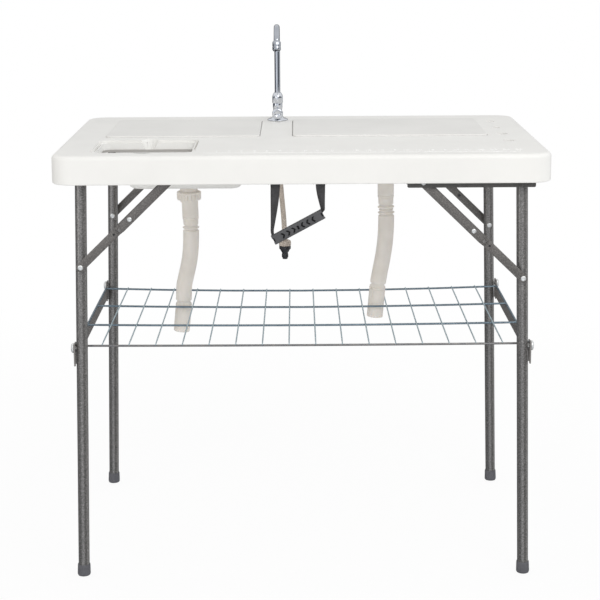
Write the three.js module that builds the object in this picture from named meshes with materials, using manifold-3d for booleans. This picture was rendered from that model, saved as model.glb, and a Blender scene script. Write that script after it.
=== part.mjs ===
// A folding fish cleaning table: a moulded top with two lidded sinks, a waste hole and a tap, on two leg sets
// that fold under it, with a lift-out wire rack and a drain hose for each sink.
// Millimetres. X runs along the table, Y to its rear and Z up, from the middle of its stance on the floor.
import Module from 'manifold-3d';
import * as THREE from 'three';
import { mergeVertices } from 'three/addons/utils/BufferGeometryUtils.js';

const wasm = await Module();
wasm.setup();

const seat = 0.3; // the gap between pieces that rest on each other
const overrun = 4; // how far a cut runs past the surface it opens
const facets = {
  corner: 4, edge: 3, tube: 12, round: 16, fine: 24, small: 8, wire: 6, hose: 8, hoseBore: 12,
};

const top = {
  width: 1000, depth: 610, height: 905, deck: 13, rimDrop: 58, rimWall: 6, draft: 0.4, corner: 42, edge: 9,
};
const halfWidth = top.width / 2;
const halfDepth = top.depth / 2;

// How far things lie in from the top's ends, in from its front and rear, and down from its deck
const fromEnd = { leftLid: 79, rightLid: 97, waste: 74, toolHoles: 64, pivot: 57.5, rackWire: 31.7 };
const fromFace = {
  lid: 77, drain: 195, waste: 47, toolHoles: 121, tap: 74, leg: 37, railInner: 53.4, railOuter: 10.8,
  lowerLink: 23, upperLink: 18.2, rackWire: 60, strap: 13.5,
};
const fromDeck = {
  leftFloor: 121.5, rightFloor: 92, leftPivot: 30, rightPivot: 58, rack: 405, strap: 55, strapPlate: 21,
};

const lid = {
  front: -44, rear: halfDepth - fromFace.lid, thickness: 10, proud: 3, corner: 14, edge: 2, clearance: 1.2,
  ledge: 12, skirt: 6, skirtWall: 3, skirtClearance: 1.5, notch: 14, notchDepth: 6,
};
const leftLid = { name: 'left_lid', from: fromEnd.leftLid - halfWidth, to: -88 };
const rightLid = { name: 'right_lid', from: -19, to: halfWidth - fromEnd.rightLid };
const sink = {
  wall: 3.5, flange: 9, flangeThickness: 3, corner: 30, heel: 14, heelRise: 4.7, heelInset: 3.5,
  drainY: halfDepth - fromFace.drain, drainHole: 20.5,
};
const leftSink = {
  name: 'left_sink', lid: leftLid, floor: top.height - fromDeck.leftFloor, taper: 34, neck: 23.5,
};
const rightSink = {
  name: 'right_sink', lid: rightLid, floor: top.height - fromDeck.rightFloor, taper: 26, neck: 12,
};
const waste = {
  left: fromEnd.waste - halfWidth, width: 211, front: fromFace.waste - halfDepth, toLid: 34, corner: 24,
  ledge: 8, step: 5, notch: 20,
};
const toolHoles = {
  x: halfWidth - fromEnd.toolHoles, first: halfDepth - fromFace.toolHoles, pitch: 99.5, radii: [9, 9, 12, 12],
};

const drain = {
  flange: 29, flangeThickness: 2, tail: 20, bore: 15.6, locknut: 28, locknutHeight: 8, nut: 26, nutHeight: 24,
  nutFlute: 0.9, nutFlutes: 24, nutEdge: 2, spigot: 13.6, spigotLength: 20, spigotBore: 11.6,
};
const strainer = {
  radius: 27, thickness: 2, slots: 8, slotWidth: 3.4, slotFrom: 8, slotTo: 21, knob: 4, knobHeight: 7,
};
const hose = {
  bore: 15.2, sleeve: 18.4, body: 17.9, ribs: 34, ribHeight: 0.9, ridge: 1.5, ridgeLength: 7, neckIn: 2.4,
  step: 4,
};
const leftHose = { name: 'left_drain_hose', sleeve: 43, ridges: [59], waist: 234, end: 305 };
const rightHose = { name: 'right_drain_hose', sleeve: 36, ridges: [55, 68], waist: 237, end: 314 };

const tap = {
  x: -53, y: halfDepth - fromFace.tap, flange: 24, flangeHeight: 5, foot: 17, bodyRadius: 11, bodyTop: 40,
  bellRadius: 13, bellHeight: 24, bellShoulder: 9, bellWaist: 10.7, bellCorner: 14.2, tube: 6.5,
  tubeWall: 1.2, running: 0.4, arcTop: 217, arcRadius: 45, arcEnd: 158, aerator: 9.5, aeratorLength: 22,
  aeratorLip: 8, aeratorTaper: 3.2, aeratorEdge: 2.4, bossHeight: 18, bossReach: 17, bossRadius: 9,
  knob: 12.6, knobDepth: 12, knobLobes: 12, knobLobe: 0.7, stem: 3, shank: 9.5, shankLength: 42, shankBore: 5,
  nut: 19, nutHeight: 10,
};
const supply = {
  radius: 6, nut: 14.5, nutHeight: 16, nutFlute: 0.7, nutFlutes: 20, flange: 13.5, flangeHeight: 5, cone: 11,
  coneHeight: 8, neck: 7.75, neckHeight: 9, tip: 6, tipHeight: 7, bore: 4,
};

const legs = {
  pivotX: halfWidth - fromEnd.pivot, splay: THREE.MathUtils.degToRad(1.7), y: halfDepth - fromFace.leg,
  radius: 11.6, wall: 1.5, crown: 3, foot: 13.2, footFlare: 0.6, footHeight: 25, footSole: 5, hingeRadius: 10,
  boss: 8, pin: 5, pinHead: 8, headHeight: 2.4, running: 0.5,
};
const sides = [
  { name: 'left', sign: -1, pivotZ: top.height - fromDeck.leftPivot },
  { name: 'right', sign: 1, pivotZ: top.height - fromDeck.rightPivot },
];
const faces = [{ name: 'front', sign: -1 }, { name: 'rear', sign: 1 }];
const rail = {
  from: -24, to: 232, below: 13, sheet: 2.2, innerY: halfDepth - fromFace.railInner,
  outerY: halfDepth - fromFace.railOuter, cornerCut: 9,
};
const brace = {
  arm: 200, upperWidth: 20, lowerWidth: 16.8, sheet: 2, overlap: 37, lip: 1.2,
  lowerY: halfDepth - fromFace.lowerLink, upperY: halfDepth - fromFace.upperLink, rivet: 3, rivetHead: 5,
  rivetRise: 2.3, rivetEdge: 4.4, rivetEdgeRise: 1.4, rivetCrown: 2.5, spacer: 5.5, hole: 3.5, lockHole: 2.4,
  lockAt: 46,
};
const rack = {
  z: top.height - fromDeck.rack, halfLength: halfWidth - fromEnd.rackWire, row: halfDepth - fromFace.rackWire,
  innerRow: 82, longWire: 2.3, crossWire: 1.5, crossWires: 16, crossInset: 53.3, weld: 0.5, sagRear: 8,
  sagFront: 1.5, sagPitches: 3, barInset: 1.5, barThickness: 3, barHeight: 25, earFrom: -34, earTo: 12,
  earWidth: 24, stud: 4, slot: 6, studRise: 2, cap: 10, capHeight: 5.6, capEdge: 1.4,
};
const rackRows = [-rack.row, -rack.innerRow, rack.innerRow, rack.row];
const rackBarX = rack.halfLength - rack.barInset;
const handle = {
  pivotY: fromFace.strap - halfDepth, pivotZ: top.height - fromDeck.strap, anchors: [-54, 36], strapWidth: 19,
  strapThickness: 2, loop: 5.2, bar: 2.6, plateThickness: 3, plateTop: top.height - fromDeck.strapPlate,
  ear: 3, earGap: 1, cheek: 4.2, cheekTop: 8, gripEnds: [-57, 37], gripDrops: [117, 64], gripWidth: 20,
  gripDepth: 11, gripEnd: 7, gripCorner: 6, gripShoulder: 2.75, gripBackEdge: 1, gripFaceEdge: 1.5,
  slots: 7, slotPitch: 14, slotWidth: 3, slotArm: 6.5, slotPoint: 4, slotDepth: 5, strapTail: 4,
};

// Where the drain hoses and the tap's supply hose hang, from the fitting that holds each down to its end.
const leftHoseRoute = [
  [0, 0], [0, -22], [1, -42], [1.7, -64], [1.6, -84], [0.2, -106], [-2.8, -130], [-7, -153],
  [-11.6, -175], [-15.5, -194], [-16.6, -214], [-17.4, -236], [-19, -258], [-21.6, -282], [-24.4, -306],
];
const rightHoseRoute = [
  [0, 0], [0, -26], [0.2, -52], [0.8, -72], [0.8, -92], [-0.4, -114], [-3, -138], [-6.6, -160],
  [-10.8, -182], [-15.6, -205], [-19.2, -227], [-20.4, -248], [-21.3, -269], [-22.4, -291], [-23.4, -315],
];
const supplyRoute = [
  [0, 0, 0], [0, 0, -16], [0.4, -0.2, -34], [1.4, -0.8, -54], [2.8, -1.6, -76], [4.6, -2.8, -98],
  [6.4, -4, -120], [8.2, -5.2, -142], [9.8, -6.4, -162], [11.2, -7.4, -180], [12.2, -8, -196],
  [12.6, -8.2, -212], [13.4, -8.4, -226], [14, -8.6, -241],
];

// Finishes
function finish(color, roughness, metalness = 0) {
  return new THREE.MeshStandardMaterial({ color, roughness, metalness });
}

const whiteMoulding = finish('#f0f0ee', 0.45);
const lidMoulding = finish('#e4e4e2', 0.5);
const drainPlastic = finish('#d9d4ce', 0.55);
const beigePlastic = finish('#c9c0b4', 0.5);
const hammertone = finish('#6f6e6c', 0.5, 0.3);
const darkSteel = finish('#4a4947', 0.55, 0.3);
const zincWire = finish('#b4c4ca', 0.35, 0.9);
const zincPlate = finish('#c8ccd0', 0.25, 1);
const chromePlate = finish('#dcdfe2', 0.08, 1);
const darkRubber = finish('#505054', 0.75);
const blackPlastic = finish('#26262a', 0.5);
const webbing = finish('#4a4a4c', 0.9);

// Solids from closed surfaces, and surfaces from solids
function signedVolume(geometry) {
  const p = geometry.attributes.position;
  const [a, b, c] = [new THREE.Vector3(), new THREE.Vector3(), new THREE.Vector3()];
  let sum = 0;
  for (let i = 0; i < geometry.index.count; i += 3) {
    a.fromBufferAttribute(p, geometry.index.getX(i));
    b.fromBufferAttribute(p, geometry.index.getX(i + 1));
    c.fromBufferAttribute(p, geometry.index.getX(i + 2));
    sum += a.dot(b.cross(c));
  }
  return sum / 6;
}

function solid(geometry) {
  const bare = new THREE.BufferGeometry();
  bare.setAttribute('position', geometry.attributes.position.clone());
  if (geometry.index) bare.setIndex(geometry.index.clone());
  const merged = mergeVertices(bare);
  const corners = Array.from(merged.index.array);
  const flip = signedVolume(merged) < 0;
  const triangles = [];
  for (let i = 0; i < corners.length; i += 3) {
    const [a, b, c] = corners.slice(i, i + 3);
    if (a !== b && b !== c && c !== a) triangles.push(a, flip ? c : b, flip ? b : c);
  }
  return new wasm.Manifold(new wasm.Mesh({
    numProp: 3,
    vertProperties: new Float32Array(merged.attributes.position.array),
    triVerts: new Uint32Array(triangles),
  }));
}

function surface(body) {
  const made = body.getMesh();
  const geometry = new THREE.BufferGeometry();
  geometry.setAttribute('position', new THREE.BufferAttribute(new Float32Array(made.vertProperties), 3));
  geometry.setIndex(new THREE.BufferAttribute(new Uint32Array(made.triVerts), 1));
  geometry.computeVertexNormals();
  return geometry;
}

const join = (first, ...others) => others.reduce((whole, piece) => whole.add(piece), first);
const cut = (first, ...others) => others.reduce((whole, piece) => whole.subtract(piece), first);

function piece(parent, name, body, material) {
  const mesh = new THREE.Mesh(surface(body), material);
  mesh.name = name;
  parent.add(mesh);
  return mesh;
}

// Forms
function rectangle(x0, x1, y0, y1) {
  return { width: x1 - x0, depth: y1 - y0, x: (x0 + x1) / 2, y: (y0 + y1) / 2 };
}

function roundedLoop(width, depth, radius) {
  const points = [];
  for (let corner = 0; corner < 4; corner++) {
    const across = corner === 0 || corner === 3 ? 1 : -1;
    const along = corner < 2 ? 1 : -1;
    for (let i = 0; i <= facets.corner; i++) {
      const angle = (Math.PI / 2) * (corner + i / facets.corner);
      points.push([
        across * (width / 2 - radius) + radius * Math.cos(angle),
        along * (depth / 2 - radius) + radius * Math.sin(angle),
      ]);
    }
  }
  return points;
}

// A closed solid through loops of points, all of one length
function loft(loops) {
  const count = loops[0].length;
  const index = [];
  for (let k = 0; k + 1 < loops.length; k++) {
    for (let i = 0; i < count; i++) {
      const [a, b] = [k * count + i, k * count + (i + 1) % count];
      index.push(a, b, b + count, a, b + count, a + count);
    }
  }
  const last = (loops.length - 1) * count;
  for (let i = 1; i + 1 < count; i++) index.push(0, i + 1, i, last, last + i, last + i + 1);
  const geometry = new THREE.BufferGeometry();
  geometry.setAttribute('position', new THREE.Float32BufferAttribute(loops.flat(2), 3));
  geometry.setIndex(index);
  return solid(geometry);
}

// A solid through level round-cornered rectangles, given from the bottom up, each with its height and inset
function stack(box, corner, levels) {
  return loft(levels.map(([z, inset]) => {
    const radius = Math.max(corner - inset, corner / 4);
    const loop = roundedLoop(box.width - 2 * inset, box.depth - 2 * inset, radius);
    return loop.map(([x, y]) => [box.x + x, box.y + y, z]);
  }));
}

function turned(profile, segments = facets.round) {
  const geometry = new THREE.LatheGeometry(profile.map(([r, z]) => new THREE.Vector2(r, z)), segments);
  return solid(geometry.rotateX(Math.PI / 2));
}

function rod(radius, from, to, segments = facets.small) {
  const [start, end] = [new THREE.Vector3(...from), new THREE.Vector3(...to)];
  const along = end.clone().sub(start);
  const geometry = new THREE.CylinderGeometry(radius, radius, along.length(), segments);
  const upward = new THREE.Vector3(0, 1, 0);
  geometry.applyQuaternion(new THREE.Quaternion().setFromUnitVectors(upward, along.normalize()));
  return solid(geometry.translate(...start.add(end).multiplyScalar(1 / 2).toArray()));
}

function block(from, to) {
  const size = to.map((v, i) => v - from[i]);
  const middle = to.map((v, i) => (v + from[i]) / 2);
  return solid(new THREE.BoxGeometry(...size).translate(...middle));
}

// An upright plate with its outline in X and Z and its thickness from y0 to y1
function plate(shape, y0, y1, curveSegments = facets.round / 2) {
  const geometry = new THREE.ExtrudeGeometry(shape, { depth: y1 - y0, bevelEnabled: false, curveSegments });
  return solid(geometry.rotateX(Math.PI / 2).translate(0, y1, 0));
}

function prism(shape, z0, z1, curveSegments = facets.round / 2) {
  const geometry = new THREE.ExtrudeGeometry(shape, { depth: z1 - z0, bevelEnabled: false, curveSegments });
  return solid(geometry.translate(0, 0, z0));
}

function circle(x, y, radius) {
  return new THREE.Shape().absarc(x, y, radius, 0, 2 * Math.PI);
}

// A round outline with shallow flutes that follow a sine
function fluted(radius, flutes, depth) {
  const steps = flutes * 2;
  const points = Array.from({ length: steps }, (_, i) => {
    const angle = (2 * Math.PI * i) / steps;
    const r = radius - (depth / 2) * (1 - Math.cos(flutes * angle));
    return new THREE.Vector2(r * Math.cos(angle), r * Math.sin(angle));
  });
  return new THREE.Shape(points);
}

const placed = (body, matrix) => solid(surface(body).applyMatrix4(matrix));
const shifted = (body, x, y, z) => placed(body, new THREE.Matrix4().makeTranslation(x, y, z));

const table = new THREE.Group();
const deckUnder = top.height - top.deck;

// Top
function lidBox(which, inset = 0) {
  return rectangle(which.from + inset, which.to - inset, lid.front + inset, lid.rear - inset);
}

const lidMiddle = (which) => (which.from + which.to) / 2;

// A round cut down from above the deck
function dish(radius, x, y, depth) {
  return shifted(prism(circle(0, 0, radius), 0, depth + overrun), x, y, top.height - depth);
}

function tableTop() {
  const outline = rectangle(-top.width / 2, top.width / 2, -top.depth / 2, top.depth / 2);
  const edge = Array.from({ length: facets.edge + 1 }, (_, i) => {
    const angle = (Math.PI / 2) * (i / facets.edge);
    return [top.height - top.edge * (1 - Math.sin(angle)), top.edge * (1 - Math.cos(angle))];
  });
  const shell = stack(outline, top.corner, [[top.height - top.rimDrop, -top.draft], ...edge]);
  const hollow = stack(outline, top.corner, [
    [top.height - top.rimDrop - overrun, top.rimWall - top.draft], [deckUnder, top.rimWall],
  ]);
  const above = [top.height + overrun, 0];
  const below = [deckUnder - overrun, 0];
  const openings = [leftLid, rightLid].flatMap((which) => [
    stack(lidBox(which), lid.corner, [[top.height - lid.thickness + lid.proud, 0], above]),
    stack(lidBox(which, lid.ledge), lid.corner, [below, above]),
    dish(lid.notch, lidMiddle(which), lid.rear, lid.notchDepth),
  ]);
  const wasteRear = lid.front - waste.toLid;
  const chute = rectangle(waste.left, waste.left + waste.width, waste.front, wasteRear);
  const mouth = rectangle(
    waste.left + waste.ledge, waste.left + waste.width - waste.ledge, waste.front + waste.ledge,
    wasteRear - waste.ledge,
  );
  const notches = [waste.front + waste.ledge, wasteRear - waste.ledge]
    .map((y) => dish(waste.notch, chute.x, y, waste.step));
  const tools = toolHoles.radii
    .map((radius, i) => dish(radius, toolHoles.x, toolHoles.first - i * toolHoles.pitch, top.deck + overrun));
  const tapHole = dish(tap.shank + seat, tap.x, tap.y, top.deck + overrun);
  return cut(
    shell, hollow, ...openings, stack(chute, waste.corner, [[top.height - waste.step, 0], above]),
    stack(mouth, waste.corner - waste.ledge, [below, above]), ...notches, ...tools, tapHole,
  );
}

function sinkLid(which) {
  const under = top.height + lid.proud - lid.thickness + seat;
  const roof = top.height + lid.proud;
  const inset = lid.ledge + lid.skirtClearance;
  const box = lidBox(which, lid.clearance);
  const slab = stack(box, lid.corner, [[under, 0], [roof - lid.edge, 0], [roof, lid.edge]]);
  const skirt = stack(lidBox(which, inset), lid.corner, [[under - lid.skirt, 0], [under + lid.skirtWall, 0]]);
  const inside = stack(
    lidBox(which, inset + lid.skirtWall), lid.corner, [[under - lid.skirt - overrun, 0], [under, 0]],
  );
  return cut(join(slab, skirt), inside, dish(lid.notch, lidMiddle(which), lid.rear, lid.thickness + overrun));
}

function sinkTub({ lid: over, floor, taper }) {
  const brim = deckUnder - seat;
  const mouth = lidBox(over, lid.ledge);
  const levels = (grow, foot) => [
    [floor + foot, taper + sink.heel - grow], [floor + foot + sink.heelRise, taper + sink.heelInset - grow],
    [floor + foot + sink.heel, taper - grow],
  ];
  const outer = stack(mouth, sink.corner, [...levels(sink.wall, 0), [brim, -sink.wall]]);
  const inner = stack(mouth, sink.corner, [...levels(0, sink.wall), [brim, 0], [brim + overrun, 0]]);
  const under = brim - sink.flangeThickness;
  const flange = stack(mouth, sink.corner, [[under, -sink.flange], [brim, -sink.flange]]);
  const through = prism(circle(0, 0, sink.drainHole), 0, sink.wall + 2 * overrun);
  const hole = shifted(through, mouth.x, sink.drainY, floor - overrun);
  return cut(join(outer, flange), inner, hole);
}

piece(table, 'table_top', tableTop(), whiteMoulding);
for (const which of [leftLid, rightLid]) piece(table, which.name, sinkLid(which), lidMoulding);
for (const which of [leftSink, rightSink]) piece(table, which.name, sinkTub(which), whiteMoulding);

// Drains
function strainerGrid() {
  const disc = turned([
    [0, 0], [strainer.radius, 0], [strainer.radius, strainer.thickness], [strainer.knob, strainer.thickness],
    [strainer.knob, strainer.knobHeight], [0, strainer.knobHeight],
  ]);
  const slots = Array.from({ length: strainer.slots }, (_, i) => {
    const bar = block(
      [strainer.slotFrom, -strainer.slotWidth / 2, -overrun],
      [strainer.slotTo, strainer.slotWidth / 2, strainer.thickness + overrun],
    );
    return placed(bar, new THREE.Matrix4().makeRotationZ((2 * Math.PI * i) / strainer.slots));
  });
  return cut(disc, ...slots);
}

// The drain's tail passes the sink's floor: its flange sits inside and its locknut ring below.
function drainTail(drop) {
  const { flange, tail, bore, spigot, spigotBore, locknut } = drain;
  const floorTop = sink.wall + seat;
  return turned([
    [bore, floorTop + drain.flangeThickness], [flange, floorTop + drain.flangeThickness], [flange, floorTop],
    [tail, floorTop], [tail, -seat], [locknut, -seat], [locknut, -seat - drain.locknutHeight],
    [tail, -seat - drain.locknutHeight], [tail, -drop], [spigot, -drop], [spigot, -drop - drain.spigotLength],
    [spigotBore, -drop - drain.spigotLength], [spigotBore, -drop], [bore, -drop + tail - spigot],
    [bore, floorTop + drain.flangeThickness],
  ]);
}

function drainNut(drop) {
  const roof = drain.nutHeight - drop;
  const grip = prism(fluted(drain.nut, drain.nutFlutes, drain.nutFlute), -drop, roof);
  const cone = turned([
    [0, -drop], [drain.nut, -drop], [drain.nut, roof - 2 * drain.nutEdge], [drain.nut - drain.nutEdge, roof],
    [0, roof],
  ]);
  const bore = rod(drain.tail + seat, [0, 0, -drop - overrun], [0, 0, roof + overrun], facets.round);
  return cut(grip.intersect(cone), bore);
}

// A hose wall: rings across a hanging route, out along its ribs and ridges and back up its bore.
function hoseWall(route, { sleeve, ridges, waist, end }) {
  const points = route.map(([x, z]) => new THREE.Vector3(x, 0, z));
  const path = new THREE.CatmullRomCurve3(points, false, 'centripetal');
  const length = path.getLength();
  const half = hose.ridgeLength / 2;
  const stations = [[0, hose.sleeve], [sleeve, hose.sleeve], [sleeve + hose.step, hose.body]];
  for (const at of ridges) {
    stations.push([at - half, hose.body], [at, hose.body + hose.ridge], [at + half, hose.body]);
  }
  const ribsFrom = Math.max(...ridges) + hose.ridgeLength;
  const pitch = (waist - hose.ridgeLength - ribsFrom) / hose.ribs;
  for (let i = 0; i < hose.ribs; i++) {
    const at = ribsFrom + pitch * i;
    stations.push([at, hose.body + hose.ribHeight], [at + pitch / 2, hose.body]);
  }
  stations.push(
    [waist - half, hose.body], [waist, hose.body - hose.neckIn], [waist + half, hose.body],
    [waist + hose.ridgeLength, hose.sleeve], [end, hose.sleeve],
  );
  const steps = facets.hoseBore;
  const inside = Array.from({ length: steps + 1 }, (_, i) => [end * (1 - i / steps), hose.bore]);
  const rings = [...stations, ...inside];
  const positions = [];
  for (const [at, radius] of rings) {
    const share = Math.min(at / length, 1);
    const middle = path.getPointAt(share);
    const along = path.getTangentAt(share);
    const across = new THREE.Vector3(along.z, 0, -along.x);
    for (let i = 0; i < facets.hose; i++) {
      const angle = (2 * Math.PI * i) / facets.hose;
      const out = radius * Math.cos(angle);
      positions.push(middle.x + across.x * out, radius * Math.sin(angle), middle.z + across.z * out);
    }
  }
  const index = [];
  rings.forEach((_, k) => {
    const next = (k + 1) % rings.length;
    for (let i = 0; i < facets.hose; i++) {
      const j = (i + 1) % facets.hose;
      const [a, b] = [k * facets.hose + i, k * facets.hose + j];
      const [c, d] = [next * facets.hose + j, next * facets.hose + i];
      index.push(a, b, c, a, c, d);
    }
  });
  const geometry = new THREE.BufferGeometry();
  geometry.setAttribute('position', new THREE.Float32BufferAttribute(positions, 3));
  geometry.setIndex(index);
  return solid(geometry);
}

for (const [side, which, tube, route] of [
  ['left', leftSink, leftHose, leftHoseRoute], ['right', rightSink, rightHose, rightHoseRoute],
]) {
  const drop = which.neck + drain.nutHeight;
  const group = new THREE.Group();
  group.position.set(lidMiddle(which.lid), sink.drainY, which.floor);
  const gridZ = sink.wall + drain.flangeThickness + 2 * seat;
  piece(group, `${side}_strainer`, shifted(strainerGrid(), 0, 0, gridZ), zincPlate);
  piece(group, `${side}_drain_tail`, drainTail(drop), drainPlastic);
  piece(group, `${side}_drain_nut`, drainNut(drop), drainPlastic);
  piece(group, tube.name, shifted(hoseWall(route, tube), 0, 0, -drop - seat), drainPlastic);
  table.add(group);
}

// Tap
const tapGroup = new THREE.Group();
tapGroup.position.set(tap.x, tap.y, top.height);

function tapBase() {
  const column = turned([
    [0, -tap.shankLength], [tap.shank, -tap.shankLength], [tap.shank, seat], [tap.flange, seat],
    [tap.flange, tap.flangeHeight / 2], [tap.foot, tap.flangeHeight], [tap.bodyRadius, tap.flangeHeight * 2],
    [tap.bodyRadius, tap.bodyTop], [0, tap.bodyTop],
  ]);
  const boss = rod(tap.bossRadius, [0, 0, tap.bossHeight], [0, -tap.bossReach, tap.bossHeight], facets.tube);
  const bore = rod(tap.shankBore, [0, 0, -tap.shankLength - overrun], [0, 0, tap.bodyTop - overrun]);
  const stemHole = rod(tap.stem + tap.running, [0, -tap.bossReach / 2, tap.bossHeight],
    [0, -tap.bossReach - overrun, tap.bossHeight]);
  return cut(join(column, boss), bore, stemHole);
}

function tapKnob() {
  const face = -tap.bossReach - seat;
  const grip = prism(fluted(tap.knob, tap.knobLobes, tap.knobLobe * 2), 0, tap.knobDepth);
  const hollow = rod(
    tap.knob / 2, [0, 0, tap.knobDepth - tap.knobLobe], [0, 0, tap.knobDepth + overrun], facets.round,
  );
  const stem = rod(tap.stem, [0, 0, -tap.bossReach / 2 + overrun / 2], [0, 0, tap.knobDepth / 2]);
  const forward = new THREE.Matrix4().makeTranslation(0, face, tap.bossHeight)
    .multiply(new THREE.Matrix4().makeRotationX(Math.PI / 2));
  return placed(join(cut(grip, hollow), stem), forward);
}

function hexagon(radius, turn = 0) {
  return new THREE.Shape(Array.from({ length: 6 }, (_, i) => {
    const angle = (Math.PI / 3) * i + turn;
    return new THREE.Vector2(radius * Math.cos(angle), radius * Math.sin(angle));
  }));
}

function bellNut() {
  const bore = tap.tube + tap.running;
  const from = tap.bodyTop + seat;
  const roof = from + tap.bellHeight;
  const bell = turned([
    [bore, from], [tap.bellRadius, from], [tap.bellRadius, roof - tap.bellShoulder],
    [tap.bellWaist, roof - tap.bellShoulder / 2], [bore + tap.tubeWall, roof], [bore, roof], [bore, from],
  ]);
  return bell.intersect(prism(hexagon(tap.bellCorner, Math.PI / 6), from, roof));
}

// The spout rises from its nut, turns over in an arc and points down at its tip.
const arcEnd = THREE.MathUtils.degToRad(tap.arcEnd);
const arcZ = tap.arcTop - tap.arcRadius;
const arcPoint = (angle) => new THREE.Vector3(
  0, -tap.arcRadius * (1 - Math.cos(angle)), arcZ + tap.arcRadius * Math.sin(angle),
);

class SpoutPath extends THREE.Curve {
  getPoint(share, target = new THREE.Vector3()) {
    const start = tap.bodyTop + 2 * seat;
    const rise = arcZ - start;
    const run = share * (rise + tap.arcRadius * arcEnd);
    if (run < rise) return target.set(0, 0, start + run);
    return target.copy(arcPoint((run - rise) / tap.arcRadius));
  }
}

function spoutTube() {
  const ring = circle(0, 0, tap.tube);
  ring.holes.push(new THREE.Path().absarc(0, 0, tap.tube - tap.tubeWall, 0, 2 * Math.PI));
  return solid(new THREE.ExtrudeGeometry(ring, {
    steps: facets.fine, extrudePath: new SpoutPath(), bevelEnabled: false, curveSegments: facets.corner + 1,
  }));
}

function aeratorCollar() {
  const tip = arcPoint(arcEnd);
  const bore = tap.tube - tap.tubeWall;
  const body = turned([
    [bore, -seat], [tap.aeratorLip, -seat], [tap.aerator, -tap.aeratorTaper],
    [tap.aerator, tap.aeratorEdge - tap.aeratorLength], [tap.aeratorLip, -tap.aeratorLength],
    [bore, -tap.aeratorLength], [bore, -seat],
  ]);
  const tilt = new THREE.Matrix4().makeRotationX(arcEnd - Math.PI);
  return placed(body, new THREE.Matrix4().makeTranslation(tip.x, tip.y, tip.z).multiply(tilt));
}

function hexNut(across, height, bore) {
  const hole = rod(bore, [0, 0, -height - overrun], [0, 0, overrun], facets.round);
  return cut(prism(hexagon(across), -height, 0), hole);
}

piece(tapGroup, 'tap_base', tapBase(), chromePlate);
piece(tapGroup, 'tap_knob', tapKnob(), chromePlate);
piece(tapGroup, 'spout_nut', bellNut(), chromePlate);
piece(tapGroup, 'spout', spoutTube(), chromePlate);
piece(tapGroup, 'aerator', aeratorCollar(), chromePlate);
const locknut = hexNut(tap.nut, tap.nutHeight, tap.shank + seat);
piece(tapGroup, 'tap_locknut', shifted(locknut, 0, 0, -top.deck - seat), zincPlate);
table.add(tapGroup);

// Supply hose, with the coupling on its end
function supplyTube() {
  const points = supplyRoute.map((p) => new THREE.Vector3(...p));
  const path = new THREE.CatmullRomCurve3(points, false, 'centripetal');
  return solid(new THREE.ExtrudeGeometry(circle(0, 0, supply.radius), {
    steps: facets.round, extrudePath: path, bevelEnabled: false, curveSegments: facets.corner,
  }));
}

function couplingNut() {
  return prism(fluted(supply.nut, supply.nutFlutes, supply.nutFlute), -supply.nutHeight, 0);
}

function quickCoupling() {
  const { flange, cone, neck, tip, bore } = supply;
  const levels = [supply.flangeHeight, supply.coneHeight, supply.neckHeight, supply.tipHeight];
  const at = levels.map((_, i) => -levels.slice(0, i + 1).reduce((sum, v) => sum + v, 0));
  return turned([
    [bore, 0], [flange, 0], [flange, at[0]], [cone, at[0]], [neck, at[1]], [neck, at[2]], [tip, at[2]],
    [tip, at[3]], [bore, at[3]], [bore, 0],
  ], facets.tube);
}

const supplyGroup = new THREE.Group();
supplyGroup.position.set(tap.x, tap.y, top.height - tap.shankLength - seat);
const [endX, endY, endZ] = supplyRoute.at(-1);
piece(supplyGroup, 'supply_hose', supplyTube(), beigePlastic);
piece(supplyGroup, 'coupling_nut', shifted(couplingNut(), endX, endY, endZ - seat), beigePlastic);
const couplingZ = endZ - supply.nutHeight - 2 * seat;
piece(supplyGroup, 'quick_coupling', shifted(quickCoupling(), endX, endY, couplingZ), blackPlastic);
table.add(supplyGroup);

// Leg sets, built in a frame whose X points to the middle of the table
const legX = (side, z) => -(side.pivotZ - z) * Math.tan(legs.splay);

function onLeg(body, side, y) {
  const lean = new THREE.Matrix4().makeRotationY(legs.splay);
  return placed(body, new THREE.Matrix4().makeTranslation(0, y, side.pivotZ).multiply(lean));
}

function legTube(side, out) {
  const end = -side.pivotZ / Math.cos(legs.splay) + legs.footSole;
  const bore = legs.radius - legs.wall;
  const tube = turned([
    [0, legs.radius], [legs.radius - legs.crown, legs.radius], [legs.radius, legs.radius - legs.crown],
    [legs.radius, end], [bore, end], [bore, -2 * legs.radius], [0, -2 * legs.radius],
  ], facets.tube);
  const bossEnd = rail.outerY - rail.sheet - seat;
  const headFrom = rail.outerY + seat;
  const pivot = [0, side.pivotZ];
  const along = (radius, from, to) => rivet(pivot, out, from, to, radius, facets.tube);
  const { link, at } = braceLine(side);
  const inner = legs.y - legs.radius;
  return join(
    onLeg(tube, side, out * legs.y), rivet(at(2 * link), out, legs.y, inner, brace.rivetHead),
    rivetHead(at(2 * link), -out, -inner), along(legs.boss, legs.y, bossEnd),
    along(legs.pin, bossEnd, headFrom), along(legs.pinHead, headFrom, headFrom + legs.headHeight),
  );
}

// The stud that the rack hooks over, on the outer side of the leg
function hookStud(side, y) {
  const z = rack.z + rack.studRise;
  const reach = rackBarX + rack.barThickness - seat - legs.pivotX;
  const x = legX(side, z);
  const leg = rod(legs.radius + seat, [0, 0, z - side.pivotZ - legs.footHeight],
    [0, 0, z - side.pivotZ + legs.footHeight], facets.tube);
  return cut(rod(rack.stud, [x, y, z], [-reach, y, z]), onLeg(leg, side, y));
}

function hingeTube(side) {
  const reach = legs.y - legs.radius - seat;
  const at = (y) => [0, y, side.pivotZ];
  const outside = rod(legs.hingeRadius, at(-reach), at(reach), facets.round);
  const inside = rod(legs.hingeRadius - legs.wall, at(-reach - overrun), at(reach + overrun), facets.tube);
  return cut(outside, inside);
}

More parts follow.
